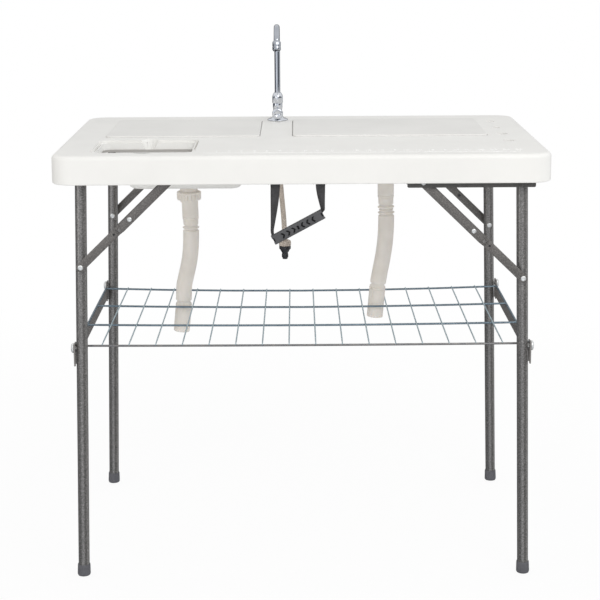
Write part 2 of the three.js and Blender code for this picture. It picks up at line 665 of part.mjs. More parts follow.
// The foot's sole is cut square to the floor, though the leg leans.
function foot(side, y) {
  const end = -side.pivotZ / Math.cos(legs.splay);
  const cup = turned([
    [0, end - overrun], [legs.foot + legs.footFlare, end - overrun], [legs.foot, end + legs.footHeight],
    [legs.radius + seat, end + legs.footHeight], [legs.radius + seat, end + legs.footSole - seat],
    [0, end + legs.footSole - seat],
  ]);
  const far = 2 * legs.foot + Math.abs(legX(side, 0));
  const floor = block([-far, y - far, -2 * overrun], [far, y + far, 0]);
  return cut(onLeg(cup, side, y), floor);
}

// Folding braces: the upper link turns on the rail, and the lower one on the upper and on the leg.
function braceLine(side) {
  const knee = Math.PI / 2 + legs.splay;
  const slope = (Math.PI - knee) / 2;
  const link = brace.arm * Math.sin(knee / 2);
  const angle = Math.PI + slope;
  const start = [brace.arm, side.pivotZ];
  const at = (run, off = 0) => [
    start[0] + run * Math.cos(angle) - off * Math.sin(angle),
    start[1] + run * Math.sin(angle) + off * Math.cos(angle),
  ];
  return { link, at };
}

// A flat link from one run to another along the brace's line, with a round end where the width is kept
function linkOutline(at, from, to, width, roundFrom, roundTo) {
  const half = width / 2;
  const points = [];
  const end = (run, sign, round) => {
    const steps = round ? facets.corner * 2 : 1;
    for (let i = 0; i <= steps; i++) {
      const angle = -Math.PI / 2 + (Math.PI * i) / steps;
      const reach = round ? half * Math.cos(angle) : 0;
      points.push(at(run + sign * reach, sign * half * Math.sin(angle)));
    }
  };
  end(to, 1, roundTo);
  end(from, -1, roundFrom);
  return new THREE.Shape(points.map((p) => new THREE.Vector2(...p)));
}

function between(shape, out, y0, y1, segments) {
  const [low, high] = out > 0 ? [y0, y1] : [-y1, -y0];
  return plate(shape, low, high, segments);
}

function rivet(at, out, y0, y1, radius, segments = facets.small) {
  return rod(radius, [at[0], out * y0, at[1]], [at[0], out * y1, at[1]], segments);
}

function rivetHead(at, out, y) {
  const dome = turned([
    [0, 0], [brace.rivetHead, 0], [brace.rivetEdge, brace.rivetEdgeRise], [brace.rivetCrown, brace.rivetRise],
    [0, brace.rivetRise],
  ], facets.small);
  const turn = new THREE.Matrix4().makeRotationX((-out * Math.PI) / 2);
  return placed(dome, new THREE.Matrix4().makeTranslation(at[0], out * y, at[1]).multiply(turn));
}

function upperLink(side, out) {
  const { link, at } = braceLine(side);
  const far = link + brace.overlap;
  const outer = brace.upperY + brace.sheet;
  const web = between(linkOutline(at, 0, far, brace.upperWidth, true, false), out, brace.upperY, outer);
  const edge = -brace.upperWidth / 2;
  const inset = edge + brace.lip;
  const corners = [at(0, edge), at(far, edge), at(far, inset), at(0, inset)];
  const lip = new THREE.Shape(corners.map((p) => new THREE.Vector2(...p)));
  const outside = rail.outerY + seat;
  return join(
    web, between(lip, out, brace.lowerY, outer),
    rivet(at(0), out, brace.upperY + brace.sheet / 2, rail.outerY - rail.sheet - seat, brace.spacer),
    rivet(at(0), out, brace.upperY, outside, brace.rivet), rivetHead(at(0), out, outside),
    rivet(at(link), out, brace.lowerY, outer, brace.rivet), rivetHead(at(link), out, outer),
  );
}

function lowerLink(side, out) {
  const { link, at } = braceLine(side);
  const outline = linkOutline(at, link, 2 * link, brace.lowerWidth, true, true);
  const web = between(outline, out, brace.lowerY, brace.lowerY + brace.sheet);
  const through = [brace.lowerY - overrun, brace.upperY - seat];
  const hole = rivet(at(link), out, ...through, brace.hole);
  const lock = rivet(at(link + brace.lockAt), out, ...through, brace.lockHole);
  const legFace = legs.y + legs.radius + seat;
  return join(
    cut(web, hole, lock),
    rivet(at(2 * link), out, legFace, brace.lowerY + brace.sheet / 2, brace.rivetHead),
    rivetHead(at(2 * link), out, brace.lowerY + brace.sheet),
  );
}

// The rail is a channel, open below, for the folded legs. The hinge tube and rivets turn in its walls.
function sideRail(side, out) {
  const { from, to, sheet, innerY, outerY, cornerCut } = rail;
  const bottom = side.pivotZ - rail.below;
  const roof = deckUnder - seat;
  const outline = new THREE.Shape([
    [from, bottom + cornerCut], [from + cornerCut, bottom], [to - cornerCut, bottom],
    [to, bottom + cornerCut],
    [to, roof], [from, roof],
  ].map((p) => new THREE.Vector2(...p)));
  const whole = between(outline, out, innerY, outerY);
  const room = [innerY + sheet, outerY - sheet].map((y) => out * y).sort((a, b) => a - b);
  const inside = block([from - overrun, room[0], bottom - overrun], [to + overrun, room[1], roof - sheet]);
  const outerWall = [outerY - sheet - overrun / 2, outerY + overrun];
  const innerWall = [innerY - overrun, innerY + sheet + overrun / 2];
  const pivot = [0, side.pivotZ];
  const knuckle = braceLine(side).at(0);
  return cut(
    whole, inside, rivet(pivot, out, ...innerWall, legs.hingeRadius + legs.running, facets.fine),
    rivet(pivot, out, ...outerWall, legs.pin + legs.running, facets.round),
    rivet(knuckle, out, ...outerWall, brace.hole),
  );
}

for (const side of sides) {
  const group = new THREE.Group();
  group.position.x = side.sign * legs.pivotX;
  group.rotation.z = side.sign > 0 ? Math.PI : 0;
  for (const face of faces) {
    const out = -side.sign * face.sign;
    const name = `${side.name}_${face.name}`;
    piece(group, `${name}_leg`, legTube(side, out), hammertone);
    piece(group, `${name}_stud`, hookStud(side, out * legs.y), zincPlate);
    piece(group, `${name}_foot`, foot(side, out * legs.y), darkRubber);
    piece(group, `${name}_rail`, sideRail(side, out), darkSteel);
    piece(group, `${name}_upper_link`, upperLink(side, out), darkSteel);
    piece(group, `${name}_lower_link`, lowerLink(side, out), darkSteel);
  }
  piece(group, `${side.name}_hinge_tube`, hingeTube(side), hammertone);
  table.add(group);
}

// Rack: long wires with cross wires welded on top, between two flat end bars that hook over studs on the legs
const crossReach = rack.halfLength - rack.crossInset;
const crossPitch = (2 * crossReach) / (rack.crossWires - 1);
const bends = [-2, -1, 0, 1, 2].map((count) => count * rack.sagPitches * crossPitch);
const stations = [-rack.halfLength, ...bends, rack.halfLength];

// How far the grid hangs down between its end bars, more at its rear than at its front
function sagAt(x, y) {
  const k = Math.max(1, stations.findIndex((station) => station >= x));
  const [a, b] = [stations[k - 1], stations[k]];
  const [bowA, bowB] = [a, b].map((station) => 1 - (station / rack.halfLength) ** 2);
  const bow = bowA + ((bowB - bowA) * (x - a)) / (b - a);
  const back = (y + rack.row) / (2 * rack.row);
  return bow * (rack.sagFront + (rack.sagRear - rack.sagFront) * back);
}

function longWire(y) {
  return loft(stations.map((x) => Array.from({ length: facets.wire }, (_, i) => {
    const angle = (2 * Math.PI * i) / facets.wire;
    return [x, y - rack.longWire * Math.sin(angle), rack.z - sagAt(x, y) + rack.longWire * Math.cos(angle)];
  })));
}

function rackGrid() {
  const { halfLength, row, z } = rack;
  const up = rack.longWire + rack.crossWire - rack.weld;
  const ends = [-halfLength, halfLength]
    .map((x) => rod(rack.longWire, [x, -row, z], [x, row, z], facets.wire));
  const cross = Array.from({ length: rack.crossWires }, (_, i) => {
    const x = -crossReach + crossPitch * i;
    const at = (y) => [x, y, z + up - sagAt(x, y)];
    return rod(rack.crossWire, at(-row - rack.longWire), at(row + rack.longWire), facets.wire);
  });
  return join(...rackRows.map(longWire), ...ends, ...cross);
}

// An end bar. Its slots have flat tops, which rest on the studs.
function rackBar(sign) {
  const [x0, x1] = [sign * rackBarX, sign * (rackBarX + rack.barThickness)].sort((a, b) => a - b);
  const barTop = rack.z - rack.longWire - seat;
  const reach = legs.y + rack.earWidth / 2;
  const bar = block([x0, -reach, barTop - rack.barHeight], [x1, reach, barTop]);
  const slotTop = rack.z + rack.studRise + rack.stud + seat;
  const [low, high] = [rack.z + rack.earFrom, rack.z + rack.earTo];
  const across = (y, half, z0, z1, past) => block([x0 - past, y - half, z0], [x1 + past, y + half, z1]);
  const ears = faces.map(({ sign: f }) => across(f * legs.y, rack.earWidth / 2, low, high, 0));
  const slots = faces.map(({ sign: f }) => across(f * legs.y, rack.slot, low - overrun, slotTop, overrun));
  return cut(join(bar, ...ears), ...slots);
}

function hookCap(sign, y) {
  const face = rackBarX + rack.barThickness + seat;
  const cap = turned([
    [0, 0], [rack.cap, 0], [rack.cap, rack.capHeight - rack.capEdge],
    [rack.cap - 2 * rack.capEdge, rack.capHeight], [0, rack.capHeight],
  ]);
  const turn = new THREE.Matrix4().makeRotationY((sign * Math.PI) / 2);
  const out = new THREE.Matrix4().makeTranslation(sign * face, y, rack.z + rack.studRise);
  return placed(cap, out.multiply(turn));
}

piece(table, 'rack_grid', rackGrid(), zincWire);
for (const side of sides) {
  piece(table, `${side.name}_rack_bar`, rackBar(side.sign), darkSteel);
  for (const face of faces) {
    piece(table, `${side.name}_${face.name}_hook_cap`, hookCap(side.sign, face.sign * legs.y), zincPlate);
  }
}

// Carry handle: a slotted grip on two webbing straps that swing on bars inside the front rim
function strapAnchor(x) {
  const rimFace = top.rimWall + seat - halfDepth;
  const half = handle.strapWidth / 2 + handle.earGap;
  const wide = half + handle.ear;
  const { pivotY: y, pivotZ: z, loop, plateThickness, plateTop } = handle;
  const back = block([x - wide, rimFace, z - loop], [x + wide, rimFace + plateThickness, plateTop]);
  const cheek = (from) => {
    const wall = block([from, rimFace, z - handle.cheek], [from + handle.ear, y, z + handle.cheekTop]);
    return join(wall, rod(handle.cheek, [from, y, z], [from + handle.ear, y, z], facets.tube));
  };
  const reach = half + handle.ear / 2;
  const relief = block(
    [x - half, rimFace - overrun, z - loop - overrun],
    [x + half, rimFace + plateThickness + overrun, z + loop + handle.earGap],
  );
  const bar = rod(handle.bar, [x - reach, y, z], [x + reach, y, z], facets.tube);
  return join(cut(back, relief), cheek(x - wide), cheek(x + half), bar);
}

function strap(x, endX, endZ) {
  const { pivotY: y, pivotZ: z, strapThickness: thick, strapWidth: width, loop, bar } = handle;
  const ring = new THREE.Shape().absarc(0, 0, loop, 0, 2 * Math.PI);
  ring.holes.push(new THREE.Path().absarc(0, 0, bar + handle.earGap / 2, 0, 2 * Math.PI));
  const across = new THREE.ExtrudeGeometry(
    ring, { depth: width, bevelEnabled: false, curveSegments: facets.tube },
  );
  const around = new THREE.Matrix4().makeBasis(
    new THREE.Vector3(0, 1, 0), new THREE.Vector3(0, 0, 1), new THREE.Vector3(1, 0, 0),
  );
  const onBar = new THREE.Matrix4().makeTranslation(x - width / 2, y, z).multiply(around);
  const from = z - loop + thick / 2;
  const corners = [
    [x - width / 2, from], [x + width / 2, from], [endX + width / 4, endZ], [endX - width / 4, endZ],
  ];
  const drop = new THREE.Shape(corners.map((p) => new THREE.Vector2(...p)));
  return join(placed(solid(across), onBar), plate(drop, y - thick / 2, y + thick / 2));
}

const [gripLeft, gripRight] = handle.gripEnds.map((x, i) => [x, handle.pivotZ - handle.gripDrops[i]]);

function grip() {
  const run = [gripRight[0] - gripLeft[0], gripRight[1] - gripLeft[1]];
  const length = Math.hypot(...run);
  const half = handle.gripWidth / 2;
  const depth = handle.gripDepth;
  const bar = stack(rectangle(-handle.gripEnd, length + handle.gripEnd, -half, half), handle.gripCorner, [
    [0, handle.gripBackEdge], [handle.gripShoulder, 0], [depth - handle.gripShoulder, 0],
    [depth, handle.gripFaceEdge],
  ]);
  const slots = Array.from({ length: handle.slots }, (_, i) => {
    const away = i - (handle.slots - 1) / 2;
    const x = length / 2 + away * handle.slotPitch;
    const point = away === 0 ? 0 : -Math.sign(away) * handle.slotPoint;
    const shape = new THREE.Shape([
      [x, -handle.slotArm], [x + point, 0], [x, handle.slotArm], [x + handle.slotWidth, handle.slotArm],
      [x + handle.slotWidth + point, 0], [x + handle.slotWidth, -handle.slotArm],
    ].map((p) => new THREE.Vector2(...p)));
    return prism(shape, depth - handle.slotDepth, depth + overrun);
  });
  const back = handle.pivotY - handle.strapThickness / 2 - seat;
  const matrix = new THREE.Matrix4().makeTranslation(gripLeft[0], back, gripLeft[1])
    .multiply(new THREE.Matrix4().makeRotationY(-Math.atan2(run[1], run[0])))
    .multiply(new THREE.Matrix4().makeRotationX(Math.PI / 2));
  return placed(cut(bar, ...slots), matrix);
}

handle.anchors.forEach((x, i) => {
  const [endX, endZ] = [gripLeft, gripRight][i];
  piece(table, `${sides[i].name}_strap_anchor`, strapAnchor(x), darkSteel);
  piece(table, `${sides[i].name}_strap`, strap(x, endX, endZ - handle.strapTail), webbing);
});
piece(table, 'carry_grip', grip(), darkRubber);

export default table;
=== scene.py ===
# A folding fish cleaning table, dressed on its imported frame. Sizes are in millimetres unless a comment says metres.
import math

import bmesh
import bpy
import numpy as np
from mathutils import Matrix


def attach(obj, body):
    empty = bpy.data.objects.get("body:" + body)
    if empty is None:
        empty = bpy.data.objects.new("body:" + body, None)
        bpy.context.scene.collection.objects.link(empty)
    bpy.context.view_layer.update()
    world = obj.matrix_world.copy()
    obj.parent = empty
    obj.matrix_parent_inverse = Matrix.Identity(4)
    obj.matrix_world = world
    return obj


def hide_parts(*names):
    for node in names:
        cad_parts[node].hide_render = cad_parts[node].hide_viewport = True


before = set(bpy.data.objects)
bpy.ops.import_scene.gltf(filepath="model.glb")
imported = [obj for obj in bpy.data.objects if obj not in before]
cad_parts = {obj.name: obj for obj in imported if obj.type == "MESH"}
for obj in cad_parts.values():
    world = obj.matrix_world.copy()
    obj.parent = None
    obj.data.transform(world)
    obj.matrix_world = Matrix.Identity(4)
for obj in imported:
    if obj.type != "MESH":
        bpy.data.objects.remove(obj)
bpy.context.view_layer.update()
metre = 0.001  # one millimetre in metres
seat = 0.3  # gap between two parts that rest on each other
signs = dict(left=-1, right=1, front=-1, rear=1)


# sRGB hex to linear: v / 12.92 up to 0.04045, and above that ((v + 0.055) / 1.055) to the power 2.4
def colour(code):
    values = [int(code[i : i + 2], 16) / 255 for i in (1, 3, 5)]
    return [v / 12.92 if v <= 0.04045 else ((v + 0.055) / 1.055) ** 2.4 for v in values] + [1]


# One node with its settings; each input takes a value, or is linked where the value is a socket
def addNode(tree, kind, inputs, **settings):
    node = tree.nodes.new(kind)
    for key, value in settings.items():
        setattr(node, key, value)
    for key, value in inputs.items():
        if isinstance(value, bpy.types.NodeSocket):
            tree.links.new(value, node.inputs[key])
        else:
            node.inputs[key].default_value = value
    return node.outputs


# A texture's scale per metre is one over the pattern's size; a wave's period is 2 pi / 20 over its scale
def dressed(name, look):
    coat = bpy.data.materials.new(name)
    coat.use_nodes = True
    tree = coat.node_tree
    shader = tree.nodes["Principled BSDF"].inputs
    place = addNode(tree, "ShaderNodeTexCoord", {})["Object"]
    shade, drift = colour(look["colours"][0]), look["drift"] * metre
    layers = [(look["drift"], 3, (0.3, 0.7), look["colours"][1])] + look.get("flecks", [])
    for size, detail, (start, end), code in layers:
        grain = {"Vector": place, "Scale": 1 / (size * metre), "Detail": detail}
        grain = addNode(tree, "ShaderNodeTexNoise", grain)["Fac"]
        share = addNode(tree, "ShaderNodeMapRange", {"Value": grain, "From Min": start, "From Max": end})["Result"]
        shade = addNode(tree, "ShaderNodeMix", {"Factor": share, 6: shade, 7: colour(code)}, data_type="RGBA")[2]
    tree.links.new(shade, shader["Base Color"])
    wear = addNode(tree, "ShaderNodeTexNoise", {"Vector": place, "Scale": 3 / drift, "Detail": 3})["Fac"]
    low, high = look["rough"]
    limits = {"From Min": 0.3, "From Max": 0.7, "To Min": low, "To Max": high}
    tree.links.new(addNode(tree, "ShaderNodeMapRange", {"Value": wear, **limits})["Result"], shader["Roughness"])
    for key, value in look.get("shader", {}).items():
        shader[key].default_value = value
    depth = {}
    for relief in look["relief"]:
        spot = place
        if "stretch" in relief:
            spot = addNode(tree, "ShaderNodeMapping", {"Vector": place, "Scale": relief["stretch"]})["Vector"]
        pattern = {"Vector": spot, "Scale": 1 / (relief["size"] * metre)}
        if "bands" in relief:
            pattern["Scale"] *= math.pi / 10
            height = addNode(tree, "ShaderNodeTexWave", pattern, bands_direction=relief["bands"])["Fac"]
        elif relief.get("cells"):
            height = addNode(tree, "ShaderNodeTexVoronoi", pattern, feature="SMOOTH_F1")["Distance"]
        else:
            height = addNode(tree, "ShaderNodeTexNoise", {**pattern, "Detail": 2})["Fac"]
        depth |= {"Height": height, "Strength": relief["strength"], "Distance": relief["height"] * metre}
        depth["Normal"] = addNode(tree, "ShaderNodeBump", depth)["Normal"]
    tree.links.new(depth["Normal"], shader["Normal"])
    return coat


# Colours in sRGB hex. drift: size of the slow change between the two colours. flecks: (size, detail, range, colour).
# Reliefs finer than about 2 mm are drawn coarser than the real grain, so that they show at all.
looks = dict(
    # Blow-moulded high-density polyethylene: matt white skin with the fine grain of the mould and a slight waviness
    whiteMoulding=dict(
        colours=("#f1f0ed", "#edece9"), drift=111, rough=(0.42, 0.52),
        relief=[dict(size=1.11, height=0.05, strength=0.5, cells=True), dict(size=25, height=0.2, strength=0.12)],
    ),
    # The same plastic pressed flat for the lids: a touch greyer and smoother than the deck
    lidMoulding=dict(
        colours=("#ecebe8", "#e7e6e3"), drift=125, rough=(0.4, 0.5),
        relief=[dict(size=1.11, height=0.05, strength=0.5, cells=True), dict(size=33.3, height=0.2, strength=0.12)],
    ),
    # Raised marks of the mould, polished by wear and smoother than the deck; their colour is a little brighter as a
    # painted highlight for the light they catch
    numerals=dict(
        colours=("#fbfbfa", "#f6f6f5"), drift=16.7, rough=(0.35, 0.45),
        relief=[dict(size=1.11, height=0.03, strength=0.3)],
    ),
    # Unpainted polypropylene: warm off-white that lets some light in, with dull highlights
    drainPlastic=dict(
        colours=("#f0eae3", "#e8e2da"), drift=33.3, rough=(0.45, 0.6),
        shader={"Subsurface Weight": 0.12, "Subsurface Radius": (0.004, 0.003, 0.002), "Subsurface Scale": 1},
        relief=[dict(size=2, height=0.04, strength=0.3)],
    ),
    # Flexible PVC over a woven core: beige with pale flecks along the threads
    beigePlastic=dict(
        colours=("#c6b9ac", "#b3a79c"), drift=16.7, rough=(0.4, 0.55), flecks=[(2, 2, (0.5, 0.7), "#ddd4ca")],
        relief=[dict(size=1.67, height=0.04, strength=0.3, stretch=(1, 1, 0.2))],
    ),
    # Hammertone enamel on steel tube: grey with a beaten, glinting speckle of about 2 mm
    hammertone=dict(
        colours=("#706e6c", "#7d7b79"), drift=7.14, rough=(0.26, 0.36), flecks=[(2.38, 2, (0.46, 0.7), "#a19e9b")],
        shader={"Metallic": 0.6},
        relief=[dict(size=2.38, height=0.16, strength=0.45, cells=True), dict(size=1.11, height=0.06, strength=0.3)],
    ),
    # The same enamel on flat strip, rolled thinner: darker, duller and finer in its speckle
    darkSteel=dict(
        colours=("#5f5c5a", "#6a6765"), drift=8.33, rough=(0.4, 0.55), flecks=[(2.17, 2, (0.46, 0.7), "#8d8985")],
        shader={"Metallic": 0.3}, relief=[dict(size=1.67, height=0.2, strength=0.5, cells=True)],
    ),
    # Powder-coated channel: near black with a faint grain
    railSteel=dict(
        colours=("#4c4a48", "#555351"), drift=11.1, rough=(0.45, 0.6), flecks=[(1.67, 2, (0.55, 0.78), "#6c6a66")],
        shader={"Metallic": 0.2}, relief=[dict(size=1.67, height=0.15, strength=0.4, cells=True)],
    ),
    # Powder-coated flat bar in a paler grey, as the rack's end bars show
    barSteel=dict(
        colours=("#8a8683", "#7d7a77"), drift=11.1, rough=(0.35, 0.5), flecks=[(1.67, 2, (0.5, 0.75), "#a8a4a0")],
        shader={"Metallic": 0.4}, relief=[dict(size=1.67, height=0.12, strength=0.4, cells=True)],
    ),
    # Zinc-plated drawn wire: pale blue-grey with soft streaks along the draw
    zincWire=dict(
        colours=("#c3d3d8", "#aec2ca"), drift=14.3, rough=(0.3, 0.45), shader={"Metallic": 0.6},
        relief=[dict(size=1.43, height=0.05, strength=0.3, stretch=(1, 0.1, 1))],
    ),
    # The thicker wire under it takes the zinc darker and bluer
    longZinc=dict(
        colours=("#7f8e98", "#6f7f8a"), drift=14.3, rough=(0.28, 0.42), shader={"Metallic": 0.7},
        relief=[dict(size=1.43, height=0.05, strength=0.3, stretch=(0.1, 1, 1))],
    ),
    # The front wire has dulled to a neutral grey
    dullZinc=dict(
        colours=("#8a8784", "#75767a"), drift=11.1, rough=(0.3, 0.45), shader={"Metallic": 0.6},
        relief=[dict(size=1.43, height=0.05, strength=0.3, stretch=(0.1, 1, 1))],
    ),
    # Bright zinc plate on rivets and caps: near white, with broad soft glints
    zincPlate=dict(
        colours=("#f3f4f3", "#dddedd"), drift=5, rough=(0.28, 0.4), shader={"Metallic": 0.6},
        relief=[dict(size=1.11, height=0.03, strength=0.3)],
    ),
    # Chrome on cast brass: mirror bright, slightly uneven
    chrome=dict(
        colours=("#dcdee2", "#d0d3d8"), drift=25, rough=(0.06, 0.14), shader={"Metallic": 1},
        relief=[dict(size=8.33, height=0.02, strength=0.1)],
    ),
    # Chrome on drawn tube: a darker, cooler copy of the chrome, painted reflection of the darker room the spout
    # mirrors, with sharper streaks
    spoutChrome=dict(
        colours=("#bcbfc5", "#aeb2b8"), drift=25, rough=(0.05, 0.11), shader={"Metallic": 1},
        relief=[dict(size=8.33, height=0.02, strength=0.1)],
    ),
    # Painted shade: a grey ring at the foot of the waste mouth, coloured for the shadow under the chute wall; even and
    # matt
    greyShadeRing=dict(
        colours=("#b4b1ad", "#a8a5a1"), drift=33.3, rough=(0.5, 0.65),
        relief=[dict(size=1.67, height=0.04, strength=0.3)],
    ),
    # Moulded rubber feet: dull dark grey
    rubber=dict(
        colours=("#59595e", "#626267"), drift=12.5, rough=(0.6, 0.75),
        relief=[dict(size=1.43, height=0.08, strength=0.4)],
    ),
    # Hard nylon grip and brackets: dark grey with a satin mould grain
    gripPlastic=dict(
        colours=("#4b4b4d", "#555557"), drift=16.7, rough=(0.5, 0.62),
        relief=[dict(size=1.25, height=0.06, strength=0.4)],
    ),
    # Black ABS coupling: smoother than the grip, with a small sheen
    blackPlastic=dict(
        colours=("#2b2b2e", "#353538"), drift=12.5, rough=(0.32, 0.45),
        relief=[dict(size=1.43, height=0.04, strength=0.3)],
    ),
    # Painted shade: the webbing where it runs inside the grip, coloured darker than the strap for the shadow it lies in
    shadedWebbing=dict(
        colours=("#242425", "#2c2c2e"), drift=8.33, rough=(0.8, 0.95),
        relief=[dict(size=1.21, height=0.2, strength=0.5, bands="X")],
    ),
    # Woven polyester strap with threads 1.2 mm apart both ways: no highlights
    webbing=dict(
        colours=("#3b3a3b", "#464547"), drift=8.33, rough=(0.75, 0.9),
        relief=[
            dict(size=1.21, height=0.25, strength=0.6, bands="Z"), dict(size=1.21, height=0.2, strength=0.5, bands="X"),
        ],
    ),
)
made = {name: dressed(name, look) for name, look in looks.items()}
print("materials", len(made))


# A skin over rows of points. Each face joins points i and i + 1 of rows k and k + 1; a cap closes an end
def grid(rows, caps=(False, False), wrap=True):
    rows = np.asarray(rows, float)
    count, width = rows.shape[:2]
    row, i = np.arange(count - 1)[:, None] * width, np.arange(width if wrap else width - 1)
    j = (i + 1) % width
    faces = np.stack([row + i, row + j, row + width + j, row + width + i], axis=-1).reshape(-1, 4).tolist()
    if caps[0]:
        faces.append(list(range(width - 1, -1, -1)))
    if caps[1]:
        faces.append(list(range((count - 1) * width, count * width)))
    return rows.reshape(-1, 3), faces


# Several shells as one
def merged(*shells):
    starts = np.cumsum([0] + [len(points) for points, _ in shells])
    faces = [[i + start for i in face] for (_, part), start in zip(shells, starts.tolist()) for face in part]
    return np.vstack([points for points, _ in shells]), faces


# A shell moved and turned by a matrix
def placed(shell, matrix):
    points = np.c_[shell[0], np.ones(len(shell[0]))] @ np.asarray(matrix, float).T
    return points[:, :3], shell[1]


def move(x, y, z):
    return np.array(Matrix.Translation((x, y, z)))


def spin(angle, axis):
    return np.array(Matrix.Rotation(angle, 4, axis))


# Rows of a turned shape: (r cos t, r sin t, z), where r has one value for each row, or for each row and turn t
def turned(reach, z, turn):
    reach = np.broadcast_to(reach, (len(z), len(turn)))
    return np.stack([reach * np.cos(turn), reach * np.sin(turn), np.broadcast_to(z[:, None], reach.shape)], axis=2)


# A profile of (r, z) turned about Z; it closes on itself where its last point is its first
def lathe(profile, segments=48):
    profile = np.asarray(profile, float)
    isOpen = not (profile[0] == profile[-1]).all()
    turn = np.linspace(0, 2 * np.pi, segments, endpoint=False)
    return grid(turned(np.maximum(profile[:, :1], 0.001), profile[:, 1], turn), (isOpen, isOpen))


# Levels (r, z, s) turned with grooves: r (1 - s g), with g = depth times (gain cos(count t) + shift), kept in 0 to 1
def grooved(levels, count, depth, gain, shift, segments):
    turn = np.linspace(0, 2 * np.pi, segments, endpoint=False)
    radius, z, share = np.array(levels, float).T
    groove = depth * np.clip(np.cos(turn * count) * gain + shift, 0, 1)
    return turned(radius[:, None] * (1 - share[:, None] * groove), z, turn)


# Each inner corner h becomes (1 - t)^2 s + 2 t (1 - t) h + t^2 e, with s and e a radius away on its two sides
def rounded(profile, radius, steps=4):
    profile = np.asarray(profile, float)
    here = profile[1:-1]
    back, on = profile[:-2] - here, profile[2:] - here
    lengths = [np.linalg.norm(side, axis=1)[:, None] for side in (back, on)]
    reach = np.minimum(radius, np.minimum(*lengths) / 2.2)
    s, e = (here + side / np.where(length, length, 1) * reach for side, length in zip((back, on), lengths))
    t = np.linspace(0, 1, steps + 1)[:, None]
    curves = (1 - t) ** 2 * s[:, None] + 2 * t * (1 - t) * here[:, None] + t**2 * e[:, None]
    return np.vstack([profile[:1], curves.reshape(-1, 2), profile[-1:]])


# A rounded box from above: at turn t, the corner's centre plus radius (cos t, sin t)
def roundedLoop(width, depth, radius, steps):
    turn = (np.arange(4)[:, None] + np.linspace(0, 1, steps + 1)).ravel() * np.pi / 2
    across, along = np.repeat([1, -1, -1, 1], steps + 1), np.repeat([1, 1, -1, -1], steps + 1)
    width, depth, radius = width[:, None], depth[:, None], radius[:, None]
    x = across * (width / 2 - radius) + radius * np.cos(turn)
    return np.stack([x, along * (depth / 2 - radius) + radius * np.sin(turn)], axis=2)


# Rounded boxes through levels (z, by), each standing "by" inside the box
def stack(box, corner, levels, steps=10, least=0.25):
    x0, x1, y0, y1 = box
    z, by = np.array(levels, float).T
    loops = roundedLoop(x1 - x0 - 2 * by, y1 - y0 - 2 * by, np.maximum(corner - by, corner * least), steps)
    loops = loops + ((x0 + x1) / 2, (y0 + y1) / 2)
    return grid(np.dstack([loops, np.broadcast_to(z[:, None], loops.shape[:2])]), (True, True))


# A circle carried along a path: p + radius (cos t side + sin t other), with the side turned along with the path
def sweep(path, radii, segments=16, capped=True):
    path = np.asarray(path, float)
    radii = np.broadcast_to(radii, len(path))[:, None, None]
    tangents = np.gradient(path, axis=0)
    tangents /= np.linalg.norm(tangents, axis=1)[:, None]
    side, sides = np.cross(tangents[0], (0, 0, 1) if abs(tangents[0][2]) < 0.9 else (0, 1, 0)), []
    for along in tangents:
        side = side - along * (side @ along)
        side /= np.linalg.norm(side)
        sides.append(side)
    turn = np.linspace(0, 2 * np.pi, segments, endpoint=False)[:, None]
    ring = np.cos(turn) * np.array(sides)[:, None] + np.sin(turn) * np.cross(tangents, sides)[:, None]
    return grid(path[:, None] + radii * ring, (capped, capped))


# A straight round bar; "edge" breaks its two rims
def rod(radius, start, end, segments=24, edge=0.0):
    start, end = np.asarray(start, float), np.asarray(end, float)
    if not edge:
        return sweep([start, end], radius, segments)
    along = (end - start) / np.linalg.norm(end - start) * edge
    return sweep([start, start + along, end - along, end], [radius - edge, radius, radius, radius - edge], segments)


# A plain box between two corners
def block(low, high):
    x, y, z = zip(low, high)
    return grid([[(x[0], y[0], h), (x[1], y[0], h), (x[1], y[1], h), (x[0], y[1], h)] for h in z], (True, True))


# Each corner of an outline moves inwards along the bisector of its two sides
def inset(outline, amount):
    sides = [np.roll(outline, step, 0) - outline for step in (1, -1)]
    before, after = (side / np.linalg.norm(side, axis=1)[:, None] for side in sides)
    normals = np.c_[-after[:, 1] + before[:, 1], after[:, 0] - before[:, 0]]
    normals /= np.maximum(np.linalg.norm(normals, axis=1)[:, None], 1e-9)
    area = np.sum(outline[:, 0] * np.roll(outline[:, 1], -1) - np.roll(outline[:, 0], -1) * outline[:, 1])
    half = np.sqrt(np.maximum((1 + np.sum(-before * after, axis=1)) / 2, 0.05))
    return outline + normals * (amount * np.sign(area) / half)[:, None]


# A plate of the outline (x, y), from z0 to z1, its edges broken
def flat(outline, z0, z1, edge=0.35):
    outline = np.asarray(outline, float)
    small = inset(outline, edge)
    levels = ((small, z0), (outline, z0 + edge), (outline, z1 - edge), (small, z1))
    return grid([np.c_[loop, np.full(len(loop), z)] for loop, z in levels], (True, True))


# The same with the outline in (x, z), from y0 to y1
def upright(outline, y0, y1, edge=0.35):
    points, faces = flat(outline, y0, y1, edge)
    return points[:, [0, 2, 1]], faces


# A cubic from b to c: half of 2 b + (c - a) t + (2 a - 5 b + 4 c - d) t^2 + (3 b - a - 3 c + d) t^3, between a and d
def smoothPath(points, steps=6):
    points = np.asarray(points, float)
    padded = np.vstack([2 * points[0] - points[1], points, 2 * points[-1] - points[-2]])
    a, b, c, d = (padded[k : k + len(points) - 1][:, None] for k in range(4))
    t = np.linspace(0, 1, steps, endpoint=False)[:, None]
    curve = 0.5 * (2 * b + (c - a) * t + (2 * a - 5 * b + 4 * c - d) * t**2 + (3 * b - a - 3 * c + d) * t**3)
    return np.vstack([curve.reshape(-1, 3), points[-1:]])


